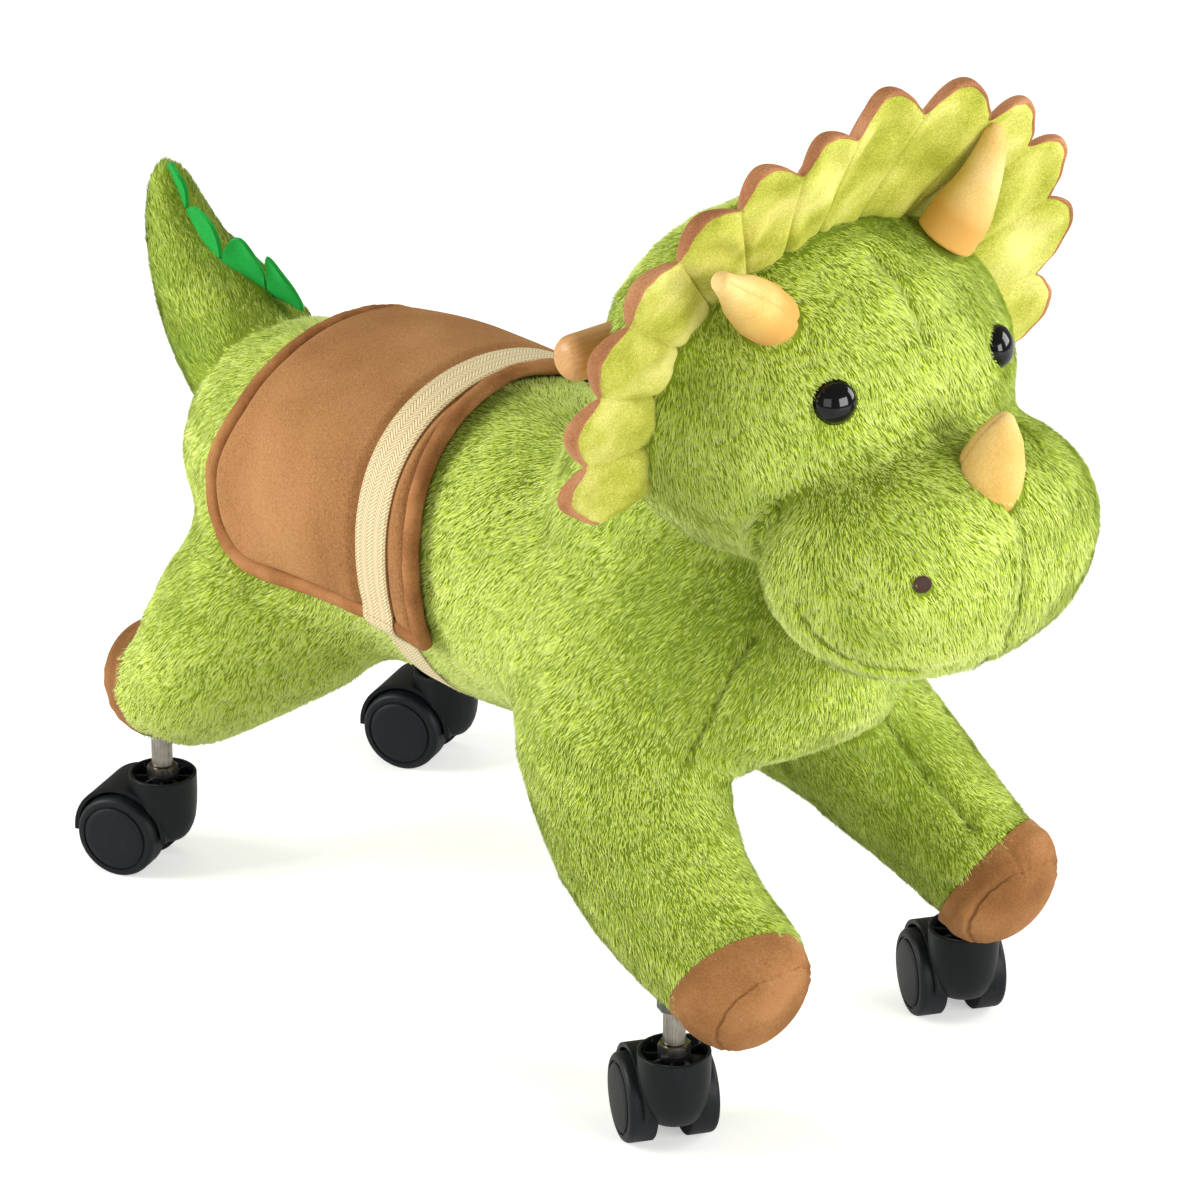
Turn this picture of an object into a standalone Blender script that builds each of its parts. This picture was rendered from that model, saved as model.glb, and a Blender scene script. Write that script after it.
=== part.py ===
"""Plush ride-on dinosaur on four twin-wheel casters.

The animal faces -Y, its left side is +X, and the floor is Z = 0. Everything is shaped about the
point midway between the four caster stems and then moved by BODY_Y, so that the origin lies under
the middle of the overall length. All sizes are in metres.

A bent steel hoop in each pair of legs carries two caster stems. A spine tube joins the hoops, and
a post on the front hoop holds the wooden handle. Stuffed plush parts are built as lofts round this
frame and end 0.3 mm from whatever they lie against.
"""
from math import cos, pi, radians, sin, sqrt

import bmesh
import bpy
from mathutils import Matrix, Vector

MM = 0.001
GAP = 0.3 * MM                     # clearance between pieces that touch

# Casters
WHEEL_RADIUS = 25.0 * MM
WHEEL_SIDES = 16                   # flats of the tread
WHEEL_WIDTH = 15.8 * MM            # tread and side wall, without the domed cover
WHEEL_DOME = 1.8 * MM
WHEEL_RIM = 5.0 * MM               # thickness of the rim round the inner hollow
TREAD_BEVEL = 3.2 * MM
WHEEL_HUB_RADIUS = 6.5 * MM
WHEEL_RECESS = 8.0 * MM            # hollow on the inner side
GROOVE_RADIUS = 19.0 * MM
GROOVE_WIDTH = 1.4 * MM
GROOVE_DEPTH = 0.8 * MM
WEB_HALF = 9.0 * MM                # half thickness of the web between the wheels
SIDE_PLAY = 0.6 * MM               # between web and wheel
TRAIL = 20.0 * MM                  # stem axis to axle
HOOD_GAP = 2.0 * MM
HOOD_WALL = 2.5 * MM
CUP_RADIUS = 20.0 * MM
CUP_SIDES = 18
HOOD_SIDES = 20
CUP_WALL = 2.0 * MM
CUP_DEPTH = 6.5 * MM
CUP_BOTTOM = 18.0 * MM             # height of the housing's rounded underside
RIB_COUNT = 8
RIB_THICK = 1.5 * MM
RIB_HEIGHT = 4.0 * MM
BOSS_RADIUS = 9.0 * MM
BOSS_HEIGHT = 5.0 * MM
AXLE_RADIUS = 3.0 * MM
AXLE_BOSS_RADIUS = 11.0 * MM
AXLE_BOSS_PROUD = 0.3 * MM
AXLE_DEPTH = 12.0 * MM             # reach of the axle into each wheel
KINGPIN_RADIUS = 5.0 * MM
KINGPIN_DEPTH = 24.0 * MM          # below the boss
NUT_FLATS = 16.0 * MM
NUT_HEIGHT = 6.0 * MM
STEM_RADIUS = 6.2 * MM
STEM_SHOWN = 10.0 * MM             # bare stem between nut and plush
STEM_GRIP = 24.0 * MM              # stem inside the hoop's end
WHEELBASE = 450.0 * MM
TRACK = 217.0 * MM
BODY_Y = 5.13 * MM                 # from the middle of the overall length to that of the wheelbase
FRONT_YAW = radians(-26.0)         # how the casters stand turned about their stems
REAR_YAW = radians(25.0)

# Steel frame
HOOP_RADIUS = 9.5 * MM
HOOP_COVER = 11.0 * MM             # plush below the end of the hoop
SPINE_RADIUS = 12.5 * MM
SPINE_RISE = 163.0 * MM            # above the bottom of the feet
FRONT_HOOP_Y = -92.0 * MM
REAR_HOOP_Y = 150.0 * MM
POST_RADIUS = 10.0 * MM
SLEEVE_WALL = 4.0 * MM
SLEEVE_HALF = 28.0 * MM

# Handle
HANDLE_RADIUS = 12.5 * MM
HANDLE_LENGTH = 242.0 * MM
HANDLE_Y = -150.0 * MM
HANDLE_RISE = 362.0 * MM
HANDLE_ROUND = 5.0 * MM
HANDLE_SIDES = 16

# Plush
TORSO_HALF_WIDTH = 95.0 * MM
TORSO_HALF_HEIGHT = 90.0 * MM
TORSO_RISE = 171.0 * MM            # axis of the torso above the bottom of the feet
RUMP_Y = 280.0 * MM
CHEST_Y = -246.0 * MM
NECK_RADIUS = 72.0 * MM
HEAD_HALF_WIDTH = 116.0 * MM
HEAD_HALF_DEPTH = 103.0 * MM
HEAD_HALF_HEIGHT = 97.0 * MM
HEAD_Y = -205.0 * MM
HEAD_RISE = 340.0 * MM
MUZZLE_HALF_WIDTH = 99.0 * MM
MUZZLE_HALF_DEPTH = 70.0 * MM
MUZZLE_HALF_HEIGHT = 68.0 * MM
MUZZLE_Y = -300.0 * MM
MUZZLE_RISE = 277.0 * MM
THIGH_RADIUS = 60.0 * MM
SHOULDER_RADIUS = 58.0 * MM
FRONT_FOOT_RADIUS = 39.5 * MM
REAR_FOOT_RADIUS = 37.5 * MM
HOOF_LENGTH = 38.0 * MM
TAIL_ROOT_RADIUS = 47.0 * MM
TAIL_TIP_RADIUS = 9.0 * MM
TAIL_REACH = 345.0 * MM
TAIL_RISE = 309.0 * MM

# Frill
FRILL_LOBES = 13
FRILL_STEP = radians(16.3)
FRILL_TOP_RADIUS = 186.0 * MM
FRILL_SIDE_RADIUS = 168.0 * MM
FRILL_NOTCH = 17.0 * MM
FRILL_RISE = 325.0 * MM
FRILL_PUFF = 7.0 * MM
FRILL_PARTING = 0.7 * MM           # between the two velvet layers
FRILL_EDGE = 2.6 * MM
FRILL_LEAN = 24.0 * MM              # the top of the frill leans forward from its root
FRILL_TOP_Y = -261.0 * MM
FRILL_SIDE_Y = -197.0 * MM

# Horns, eyes and tail plates
BROW_HORN_LENGTH = 62.0 * MM
BROW_HORN_RADIUS = 16.5 * MM
NOSE_HORN_LENGTH = 50.0 * MM
NOSE_HORN_RADIUS = 16.5 * MM
HORN_TIP_RADIUS = 6.5 * MM
EYE_RADIUS = 12.0 * MM
EYE_DOME = 8.0 * MM
EYE_SEAT = 6.0 * MM                # how far the eye's rim reaches into the plush
PLATE_THICK = 3.0 * MM
PLATE_HEIGHTS = [13.0 * MM, 16.0 * MM, 19.0 * MM, 21.0 * MM]

# Saddle and girth
SADDLE_FRONT_Y = 0.0 * MM
SADDLE_REAR_Y = 190.0 * MM
SADDLE_LIFT = 1.2 * MM            # clearance over the plush and under the girth
SADDLE_THICK = 7.5 * MM
SADDLE_WRAP = radians(116.0)       # half angle round the torso
SADDLE_CORNER = 46.0 * MM
PIPING_RADIUS = 3.4 * MM
GIRTH_Y = 40.0 * MM
GIRTH_WIDTH = 29.0 * MM
GIRTH_THICK = 1.8 * MM

# Heights that follow from the sizes above
AXLE_Z = WHEEL_RADIUS * cos(pi / WHEEL_SIDES)
CLEAR_RADIUS = WHEEL_RADIUS + HOOD_GAP
HOOD_RADIUS = CLEAR_RADIUS + HOOD_WALL
HOOD_HALF = CUP_RADIUS - 0.5 * MM
CUP_FLOOR_Z = AXLE_Z + HOOD_RADIUS + 0.5 * MM
CUP_RIM_Z = CUP_FLOOR_Z + CUP_DEPTH
BOSS_TOP_Z = CUP_FLOOR_Z + BOSS_HEIGHT
NUT_TOP_Z = BOSS_TOP_Z + GAP + NUT_HEIGHT
RIDE_Z = NUT_TOP_Z + STEM_SHOWN    # bottom of the feet
HOOP_END_Z = RIDE_Z + HOOP_COVER
HANDLE_Z = RIDE_Z + HANDLE_RISE
SPINE_Z = RIDE_Z + SPINE_RISE
TORSO_Z = RIDE_Z + TORSO_RISE
HEAD_Z = RIDE_Z + HEAD_RISE
MUZZLE_Z = RIDE_Z + MUZZLE_RISE
FRILL_Z = RIDE_Z + FRILL_RISE
FOOT_X = TRACK / 2 - 16.0 * MM

for old in list(bpy.data.objects):
    bpy.data.objects.remove(old, do_unlink=True)


# Shaping helpers

def material(name, rgb, roughness, metallic=0.0):
    """A Principled material in linear colour."""
    mat = bpy.data.materials.new(name)
    mat.use_nodes = True
    shader = mat.node_tree.nodes["Principled BSDF"]
    shader.inputs["Base Color"].default_value = (*rgb, 1.0)
    shader.inputs["Roughness"].default_value = roughness
    shader.inputs["Metallic"].default_value = metallic
    mat.diffuse_color = (*rgb, 1.0)
    return mat


def finish_mesh(bm):
    """Turn the faces outward, split them into flat triangles and hand the mesh over."""
    bmesh.ops.remove_doubles(bm, verts=bm.verts, dist=1e-7)
    bmesh.ops.recalc_face_normals(bm, faces=bm.faces)
    bmesh.ops.triangulate(bm, faces=bm.faces, quad_method="SHORT_EDGE")
    mesh = bpy.data.meshes.new("shape")
    bm.to_mesh(mesh)
    bm.free()
    return mesh


def skin_rings(rings, closed_path=False, first=None, last=None):
    """Join rings of equal count with quads; open ends get a pole vertex or a flat face."""
    bm = bmesh.new()
    grid = [[bm.verts.new(p) for p in ring] for ring in rings]
    pairs = list(zip(grid, grid[1:]))
    if closed_path:
        pairs.append((grid[-1], grid[0]))
    for low, high in pairs:
        count = len(low)
        for i in range(count):
            j = (i + 1) % count
            bm.faces.new((low[i], low[j], high[j], high[i]))
    if not closed_path:
        for ring, pole in ((grid[0], first), (grid[-1], last)):
            if pole is None:
                bm.faces.new(ring)
                continue
            tip = bm.verts.new(pole)
            for i in range(len(ring)):
                bm.faces.new((ring[i], ring[(i + 1) % len(ring)], tip))
    return finish_mesh(bm)


def spline(keys, steps):
    """Points of a Catmull-Rom curve through tuples of numbers."""
    out = []
    last = len(keys) - 1
    for k in range(last):
        p0, p1, p2, p3 = (keys[max(k - 1, 0)], keys[k], keys[k + 1], keys[min(k + 2, last)])
        for s in range(steps):
            t = s / steps
            out.append(tuple(
                0.5 * (2 * b + (c - a) * t + (2 * a - 5 * b + 4 * c - d) * t * t
                       + (3 * b - a - 3 * c + d) * t ** 3)
                for a, b, c, d in zip(p0, p1, p2, p3)))
    out.append(tuple(keys[last]))
    return out


def loft(keys, sides, steps=1, grow=0.0, across=Vector((1, 0, 0)), phase=0.0):
    """A closed form through elliptical sections (x, y, z, half width, half height).

    The ends are domed by a pole; `grow` swells every section and pushes the ends out.
    """
    rows = spline(keys, steps)
    mids = [Vector(r[:3]) for r in rows]
    rings = []
    for k, row in enumerate(rows):
        run = (mids[min(k + 1, len(rows) - 1)] - mids[max(k - 1, 0)]).normalized()
        side = (across - run * across.dot(run)).normalized()
        rise = run.cross(side)
        half_w, half_h = row[3] + grow, row[4] + grow
        push = run * (-grow if k == 0 else grow if k == len(rows) - 1 else 0.0)
        rings.append([mids[k] + push + side * half_w * cos(a) + rise * half_h * sin(a)
                      for a in (2 * pi * (i + phase) / sides for i in range(sides))])
    head = (mids[0] - mids[1]).normalized()
    tail = (mids[-1] - mids[-2]).normalized()
    return skin_rings(rings, first=mids[0] + head * (grow + 0.25 * rows[0][3]),
                      last=mids[-1] + tail * (grow + 0.25 * rows[-1][3]))


def ellipsoid(centre, semi, sides, bands, grow=0.0, pitch=0.0, power=2.0):
    """A round stuffed form with its poles left and right; power over 2 squares it up."""
    turn = Matrix.Rotation(pitch, 3, "X")

    def squash(value):
        return (1 if value >= 0 else -1) * abs(value) ** (2.0 / power)

    rings = []
    for k in range(1, bands):
        lat = -pi / 2 + pi * k / bands
        ring = []
        for i in range(sides):
            lon = 2 * pi * i / sides
            p = Vector(((semi[0] + grow) * squash(sin(lat)),
                        (semi[1] + grow) * squash(cos(lat)) * squash(cos(lon)),
                        (semi[2] + grow) * squash(cos(lat)) * squash(sin(lon))))
            ring.append(Vector(centre) + turn @ p)
        rings.append(ring)
    end = Vector((semi[0] + grow, 0, 0))
    return skin_rings(rings, first=Vector(centre) - end, last=Vector(centre) + end)


def tube(points, radius, sides, closed=False):
    """A round tube along points, with flat ends or closed on itself."""
    pts = [Vector(p) for p in points]
    count = len(pts)
    rings = []
    side = None
    for k in range(count):
        if closed:
            run = (pts[(k + 1) % count] - pts[k - 1]).normalized()
        else:
            run = (pts[min(k + 1, count - 1)] - pts[max(k - 1, 0)]).normalized()
        if side is None:
            side = run.orthogonal().normalized()
        side = (side - run * side.dot(run)).normalized()
        up = run.cross(side)
        rings.append([pts[k] + side * radius * cos(a) + up * radius * sin(a)
                      for a in (2 * pi * i / sides for i in range(sides))])
    if closed:
        start = rings[0]
        shift = min(range(sides), key=lambda s: (rings[-1][s] - start[0]).length)
        twist = shift if shift <= sides // 2 else shift - sides
        for k in range(count):
            turn = 2 * pi * (twist / sides) * k / (count - 1)
            run = (pts[(k + 1) % count] - pts[k - 1]).normalized()
            spin = Matrix.Rotation(turn, 3, run)
            rings[k] = [pts[k] + spin @ (p - pts[k]) for p in rings[k]]
        best = min(range(sides), key=lambda s: (rings[-1][s] - start[0]).length)
        if best:
            for k in range(count):
                run = (pts[(k + 1) % count] - pts[k - 1]).normalized()
                spin = Matrix.Rotation(-2 * pi * best / sides * k / (count - 1), 3, run)
                rings[k] = [pts[k] + spin @ (p - pts[k]) for p in rings[k]]
    return skin_rings(rings, closed_path=closed)


def revolve(profile, sides, frame, phase=0.0):
    """Spin (radius, height) points about the Z axis of `frame`; radius 0 ends are poles."""
    poles = [frame @ Vector((0, 0, h)) if r == 0 else None
             for r, h in (profile[0], profile[-1])]
    body = [p for p in profile if p[0] > 0]
    ring_closed = poles[0] is None and poles[1] is None
    rings = []
    for r, h in body:
        rings.append([frame @ Vector((r * cos(a), r * sin(a), h))
                      for a in (phase + 2 * pi * i / sides for i in range(sides))])
    return skin_rings(rings, closed_path=ring_closed, first=poles[0], last=poles[1])


def prism(outline, low, high, frame=Matrix.Identity(4)):
    """Extrude a polygon of (x, y) points from low to high along the frame's Z."""
    return skin_rings([[frame @ Vector((x, y, h)) for x, y in outline] for h in (low, high)])


def cylinder(radius, low, high, sides, frame=Matrix.Identity(4), phase=0.0):
    ring = [(radius * cos(phase + 2 * pi * i / sides), radius * sin(phase + 2 * pi * i / sides))
            for i in range(sides)]
    return prism(ring, low, high, frame)


def combine(mesh, *others, mode="DIFFERENCE"):
    """Boolean the mesh with each of the others in turn."""
    for other in others:
        base = bpy.data.objects.new("base", mesh)
        tool = bpy.data.objects.new("tool", other)
        for ob in (base, tool):
            bpy.context.collection.objects.link(ob)
        step = base.modifiers.new("cut", "BOOLEAN")
        step.operation = mode
        step.solver = "EXACT"
        step.object = tool
        ready = base.evaluated_get(bpy.context.evaluated_depsgraph_get())
        mesh = bpy.data.meshes.new_from_object(ready)
        for ob in (base, tool):
            bpy.data.objects.remove(ob, do_unlink=True)
    return mesh


def publish(name, mesh, mat, origin=(0.0, 0.0, 0.0), smooth=40.0):
    """Make the finished object with its origin on its own axis."""
    start = Vector(origin)
    bm = bmesh.new()
    bm.from_mesh(mesh)
    bmesh.ops.remove_doubles(bm, verts=bm.verts, dist=0.004 * MM)
    bmesh.ops.dissolve_degenerate(bm, edges=bm.edges, dist=0.002 * MM)
    own = bpy.data.meshes.new(name)
    bm.to_mesh(own)
    bm.free()
    own.transform(Matrix.Translation(-start))
    own.materials.clear()
    own.materials.append(mat)
    own.shade_smooth()
    own.set_sharp_from_angle(angle=radians(smooth))
    ob = bpy.data.objects.new(name, own)
    bpy.context.collection.objects.link(ob)
    ob.location = start + Vector((0, BODY_Y, 0))
    return ob


def side_frame(side):
    """Frame whose Z points along X, outward on the given side."""
    return Matrix.Rotation(side * pi / 2, 4, "Y")


PLUSH = material("plush_green", (0.365, 0.560, 0.075), 0.92)
VELVET = material("frill_velvet", (0.420, 0.470, 0.065), 0.80)
BROWN = material("frill_brown_velvet", (0.420, 0.185, 0.080), 0.82)
HOOF = material("hoof_velvet", (0.450, 0.200, 0.075), 0.82)
CREAM = material("horn_velvet", (0.870, 0.620, 0.200), 0.80)
FELT = material("felt_green", (0.010, 0.360, 0.070), 0.95)
SUEDE = material("saddle_suede", (0.430, 0.215, 0.095), 0.85)
PIPE = material("saddle_piping", (0.330, 0.140, 0.065), 0.80)
WEBBING = material("girth_webbing", (0.820, 0.660, 0.400), 0.75)
EYE = material("eye_plastic", (0.008, 0.008, 0.009), 0.06)
WOOD = material("handle_oak", (0.640, 0.360, 0.130), 0.45)
STEEL = material("frame_steel", (0.120, 0.120, 0.125), 0.50, 0.8)
ZINC = material("stem_zinc", (0.520, 0.500, 0.460), 0.35, 1.0)
BLACK = material("caster_plastic", (0.018, 0.019, 0.021), 0.50)
TYRE = material("wheel_plastic", (0.014, 0.015, 0.017), 0.55)


# Casters: each is shaped with its stem on the local Z axis and its axle behind it, toward +Y

def caster_housing():
    axle = Matrix.Translation((0, TRAIL, AXLE_Z)) @ side_frame(1)
    cup = revolve([(0, CUP_BOTTOM), (0.45 * CUP_RADIUS, CUP_BOTTOM + 1.0 * MM),
                   (0.78 * CUP_RADIUS, CUP_BOTTOM + 6.0 * MM),
                   (0.94 * CUP_RADIUS, CUP_BOTTOM + 15.0 * MM),
                   (CUP_RADIUS, CUP_FLOOR_Z - 6.0 * MM), (CUP_RADIUS, CUP_RIM_Z), (0, CUP_RIM_Z)],
                  CUP_SIDES, Matrix.Identity(4))
    drum = cylinder(HOOD_RADIUS, -HOOD_HALF, HOOD_HALF, HOOD_SIDES, axle)
    back = TRAIL + HOOD_RADIUS + 5.0 * MM
    plan = [(HOOD_HALF * cos(a), HOOD_HALF * sin(a))
            for a in (pi + pi * i / 9 for i in range(10))]
    plan += [(HOOD_HALF, back), (-HOOD_HALF, back)]
    drum = combine(drum, prism(plan, AXLE_Z - 2.0 * MM, CUP_RIM_Z), mode="INTERSECT")
    body = combine(cup, drum, mode="UNION")
    for side in (-1, 1):
        wheel_room = Matrix.Translation((0, TRAIL, AXLE_Z)) @ side_frame(side)
        body = combine(body, cylinder(CLEAR_RADIUS, WEB_HALF, HOOD_HALF + 20.0 * MM, HOOD_SIDES,
                                      wheel_room))
    boss_half = WEB_HALF + AXLE_BOSS_PROUD
    body = combine(body, cylinder(AXLE_BOSS_RADIUS, -boss_half, boss_half, 12, axle), mode="UNION")
    below = CUP_FLOOR_Z - 1.0 * MM
    room = cylinder(CUP_RADIUS - CUP_WALL, CUP_FLOOR_Z, CUP_RIM_Z + 2.0 * MM, CUP_SIDES)
    room = combine(room, cylinder(BOSS_RADIUS, below, BOSS_TOP_Z, 12))
    plan = [(BOSS_RADIUS / 2, -RIB_THICK / 2), (CUP_RADIUS, -RIB_THICK / 2),
            (CUP_RADIUS, RIB_THICK / 2), (BOSS_RADIUS / 2, RIB_THICK / 2)]
    for i in range(RIB_COUNT):
        rib = Matrix.Rotation(2 * pi * (i + 0.5) / RIB_COUNT, 4, "Z")
        room = combine(room, prism(plan, below, CUP_FLOOR_Z + RIB_HEIGHT, rib))
    bore = cylinder(KINGPIN_RADIUS + GAP, BOSS_TOP_Z - KINGPIN_DEPTH - GAP, CUP_RIM_Z + 3.0 * MM, 12)
    cross = cylinder(AXLE_RADIUS + GAP, -2 * WEB_HALF, 2 * WEB_HALF, 12, axle)
    return combine(body, room, bore, cross)


def caster_wheel(side):
    """One wheel; the profile runs from the domed cover round the tread to the blind hub bore."""
    inner = WEB_HALF + SIDE_PLAY
    face = inner + WHEEL_WIDTH
    groove = GROOVE_RADIUS
    profile = [(0, face + WHEEL_DOME), (groove, face + 0.4 * WHEEL_DOME),
               (groove + 0.2 * MM, face - GROOVE_DEPTH),
               (groove + GROOVE_WIDTH, face - GROOVE_DEPTH), (groove + GROOVE_WIDTH + 0.3 * MM, face),
               (WHEEL_RADIUS, face - TREAD_BEVEL), (WHEEL_RADIUS, inner),
               (WHEEL_RADIUS - WHEEL_RIM, inner), (WHEEL_RADIUS - WHEEL_RIM, inner + WHEEL_RECESS),
               (WHEEL_HUB_RADIUS, inner + WHEEL_RECESS), (WHEEL_HUB_RADIUS, inner),
               (AXLE_RADIUS + GAP, inner), (AXLE_RADIUS + GAP, inner + AXLE_DEPTH + GAP),
               (0, inner + AXLE_DEPTH + GAP)]
    frame = Matrix.Translation((0, TRAIL, AXLE_Z)) @ side_frame(side)
    return revolve(profile, WHEEL_SIDES, frame, phase=pi / WHEEL_SIDES)


def caster_axle():
    reach = WEB_HALF + SIDE_PLAY + AXLE_DEPTH
    frame = Matrix.Translation((0, TRAIL, AXLE_Z)) @ side_frame(1)
    return cylinder(AXLE_RADIUS, -reach, reach, 12, frame)


def stem():
    """Zinc stem: kingpin in the housing, thread in the nut, rod up into the hoop."""
    low = BOSS_TOP_Z - KINGPIN_DEPTH
    top = HOOP_END_Z + STEM_GRIP
    return revolve([(0, low), (KINGPIN_RADIUS, low), (KINGPIN_RADIUS, NUT_TOP_Z),
                    (STEM_RADIUS, NUT_TOP_Z + GAP), (STEM_RADIUS, top), (0, top)],
                   12, Matrix.Identity(4))


def nut():
    corner = NUT_FLATS / 2 / cos(pi / 6)
    block = cylinder(corner, BOSS_TOP_Z + GAP, NUT_TOP_Z, 6, phase=pi / 6)
    return combine(block, cylinder(KINGPIN_RADIUS + GAP, BOSS_TOP_Z, NUT_TOP_Z + 1.0 * MM, 12))


HOUSING_SHAPE = caster_housing()
WHEEL_SHAPES = {side: caster_wheel(side) for side in (-1, 1)}
AXLE_SHAPE = caster_axle()
STEM_SHAPE = stem()
NUT_SHAPE = nut()
STEMS = {"front_left": (1, -1, FRONT_YAW), "front_right": (-1, -1, FRONT_YAW),
         "rear_left": (1, 1, REAR_YAW), "rear_right": (-1, 1, REAR_YAW)}

for corner, (sx, sy, yaw) in STEMS.items():
    foot = Vector((sx * TRACK / 2, sy * WHEELBASE / 2, 0))
    place = Matrix.Translation(foot) @ Matrix.Rotation(yaw, 4, "Z")
    axle_at = place @ Vector((0, TRAIL, AXLE_Z))

    def placed(shape, matrix=place):
        own = shape.copy()
        own.transform(matrix)
        return own

    publish(f"caster_housing_{corner}", placed(HOUSING_SHAPE), BLACK, foot, smooth=35.0)
    publish(f"axle_{corner}", placed(AXLE_SHAPE), ZINC, axle_at)
    publish(f"wheel_{corner}_l", placed(WHEEL_SHAPES[1]), TYRE, axle_at, smooth=30.0)
    publish(f"wheel_{corner}_r", placed(WHEEL_SHAPES[-1]), TYRE, axle_at, smooth=30.0)
    upright = Matrix.Translation(foot)
    publish(f"stem_{corner}", placed(STEM_SHAPE, upright), ZINC, foot)
    publish(f"nut_{corner}", placed(NUT_SHAPE, upright), ZINC, foot, smooth=20.0)


# Steel frame inside the plush

def hoop_route(sy):
    """From one stem up through the leg, over the spine and down to the other stem."""
    foot_y = sy * WHEELBASE / 2
    apex_y = FRONT_HOOP_Y if sy < 0 else REAR_HOOP_Y
    rise = SPINE_Z - HOOP_END_Z
    grip = HOOP_END_Z + STEM_GRIP
    half = [(TRACK / 2, foot_y, HOOP_END_Z), (TRACK / 2, foot_y, grip + 2.0 * MM),
            (TRACK / 2, foot_y, grip + 14.0 * MM),
            (0.86 * TRACK / 2, foot_y + 0.34 * (apex_y - foot_y), HOOP_END_Z + 0.54 * rise),
            (0.56 * TRACK / 2, foot_y + 0.76 * (apex_y - foot_y), HOOP_END_Z + 0.85 * rise),
            (0.26 * TRACK / 2, apex_y, SPINE_Z), (0, apex_y, SPINE_Z)]
    whole = half + [(-x, y, z) for x, y, z in reversed(half[:-1])]
    flat = min if sy < 0 else max
    return [(x, flat(y, apex_y), min(z, SPINE_Z)) for x, y, z in spline(whole, 2)]


def hoop(sy):
    body = tube(hoop_route(sy), HOOP_RADIUS, 8)
    for sx in (-1, 1):
        socket = Matrix.Translation((sx * TRACK / 2, sy * WHEELBASE / 2, 0))
        body = combine(body, cylinder(STEM_RADIUS + GAP, HOOP_END_Z - 5.0 * MM,
                                      HOOP_END_Z + STEM_GRIP + GAP, 12, socket))
    return body


def hoop_channel(sy):
    """Room for the hoop and for the stems below its ends."""
    return tube(hoop_route(sy), HOOP_RADIUS + GAP, 8)


def stem_channel(sx, sy):
    at = Matrix.Translation((sx * TRACK / 2, sy * WHEELBASE / 2, 0))
    return cylinder(STEM_RADIUS + GAP, CUP_RIM_Z, HOOP_END_Z + 1.0 * MM, 12, at)


SPINE_START = FRONT_HOOP_Y + HOOP_RADIUS + GAP
SPINE_STOP = REAR_HOOP_Y - HOOP_RADIUS - GAP
spine_frame = Matrix.Translation((0, 0, SPINE_Z)) @ Matrix.Rotation(-pi / 2, 4, "X")

post_foot = Vector((0, FRONT_HOOP_Y, SPINE_Z))
post_head = Vector((0, HANDLE_Y, HANDLE_Z))
post_run = (post_head - post_foot).normalized()
post_turn = post_run.to_track_quat("Z", "Y").to_matrix().to_4x4()
post_frame = Matrix.Translation(post_foot) @ post_turn
POST_LENGTH = (post_head - post_foot).length
SLEEVE_RADIUS = HANDLE_RADIUS + GAP + SLEEVE_WALL
handle_frame = Matrix.Translation((0, HANDLE_Y, HANDLE_Z)) @ side_frame(1)


def handle_post():
    post = cylinder(POST_RADIUS, HOOP_RADIUS + GAP, POST_LENGTH, 14, post_frame)
    sleeve = cylinder(SLEEVE_RADIUS, -SLEEVE_HALF, SLEEVE_HALF, HANDLE_SIDES, handle_frame)
    both = combine(post, sleeve, mode="UNION")
    room = cylinder(HANDLE_RADIUS + GAP, -2 * SLEEVE_HALF, 2 * SLEEVE_HALF, HANDLE_SIDES, handle_frame)
    return combine(both, room)


def handle():
    half = HANDLE_LENGTH / 2
    edge = HANDLE_ROUND
    profile = [(0, -half)]
    for i in range(4):
        a = radians(90 * i / 3)
        profile.append((HANDLE_RADIUS - edge + edge * sin(a), -half + edge - edge * cos(a)))
    profile += [(r, -h) for r, h in reversed(profile)]
    return revolve(profile, HANDLE_SIDES, handle_frame)


publish("frame_hoop_front", hoop(-1), STEEL)
publish("frame_hoop_rear", hoop(1), STEEL)
publish("frame_spine", cylinder(SPINE_RADIUS, SPINE_START, SPINE_STOP, 14, spine_frame), STEEL)
publish("handle_post", handle_post(), STEEL)
publish("handle_dowel", handle(), WOOD)

FRAME_ROOM = [hoop_channel(-1), hoop_channel(1),
              cylinder(SPINE_RADIUS + GAP, FRONT_HOOP_Y, REAR_HOOP_Y, 14, spine_frame)]
POST_ROOM = [cylinder(POST_RADIUS + GAP, 0, POST_LENGTH, 14, post_frame),
             cylinder(SLEEVE_RADIUS + GAP, -SLEEVE_HALF - GAP, SLEEVE_HALF + GAP, HANDLE_SIDES,
                      handle_frame),
             cylinder(HANDLE_RADIUS + GAP, -HANDLE_LENGTH, HANDLE_LENGTH, HANDLE_SIDES, handle_frame)]


# Stuffed body

TORSO_SHAPE = [(1.000, -0.03, 0.28, 0.28), (0.955, -0.03, 0.58, 0.58), (0.870, -0.03, 0.78, 0.77),
               (0.740, -0.03, 0.898, 0.865), (0.590, -0.02, 0.930, 0.893), (0.440, -0.01, 0.928, 0.900),
               (0.280, 0.00, 0.910, 0.91), (0.120, 0.00, 0.900, 0.92), (-0.060, -0.03, 0.920, 0.94),
               (-0.240, -0.04, 0.965, 0.98), (-0.440, -0.02, 1.010, 1.03), (-0.620, 0.03, 1.000, 1.03),
               (-0.780, 0.09, 0.900, 0.95), (-0.910, 0.15, 0.680, 0.74), (-1.000, 0.19, 0.30, 0.34)]


def torso_section(share, drop, wide, high):
    """Station on the torso: y, centre height, half width, half height."""
    y = share * (RUMP_Y if share > 0 else -CHEST_Y)
    return y, TORSO_Z + drop * TORSO_HALF_HEIGHT, wide * TORSO_HALF_WIDTH, high * TORSO_HALF_HEIGHT


TORSO_ROWS = [torso_section(*row) for row in TORSO_SHAPE]


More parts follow.
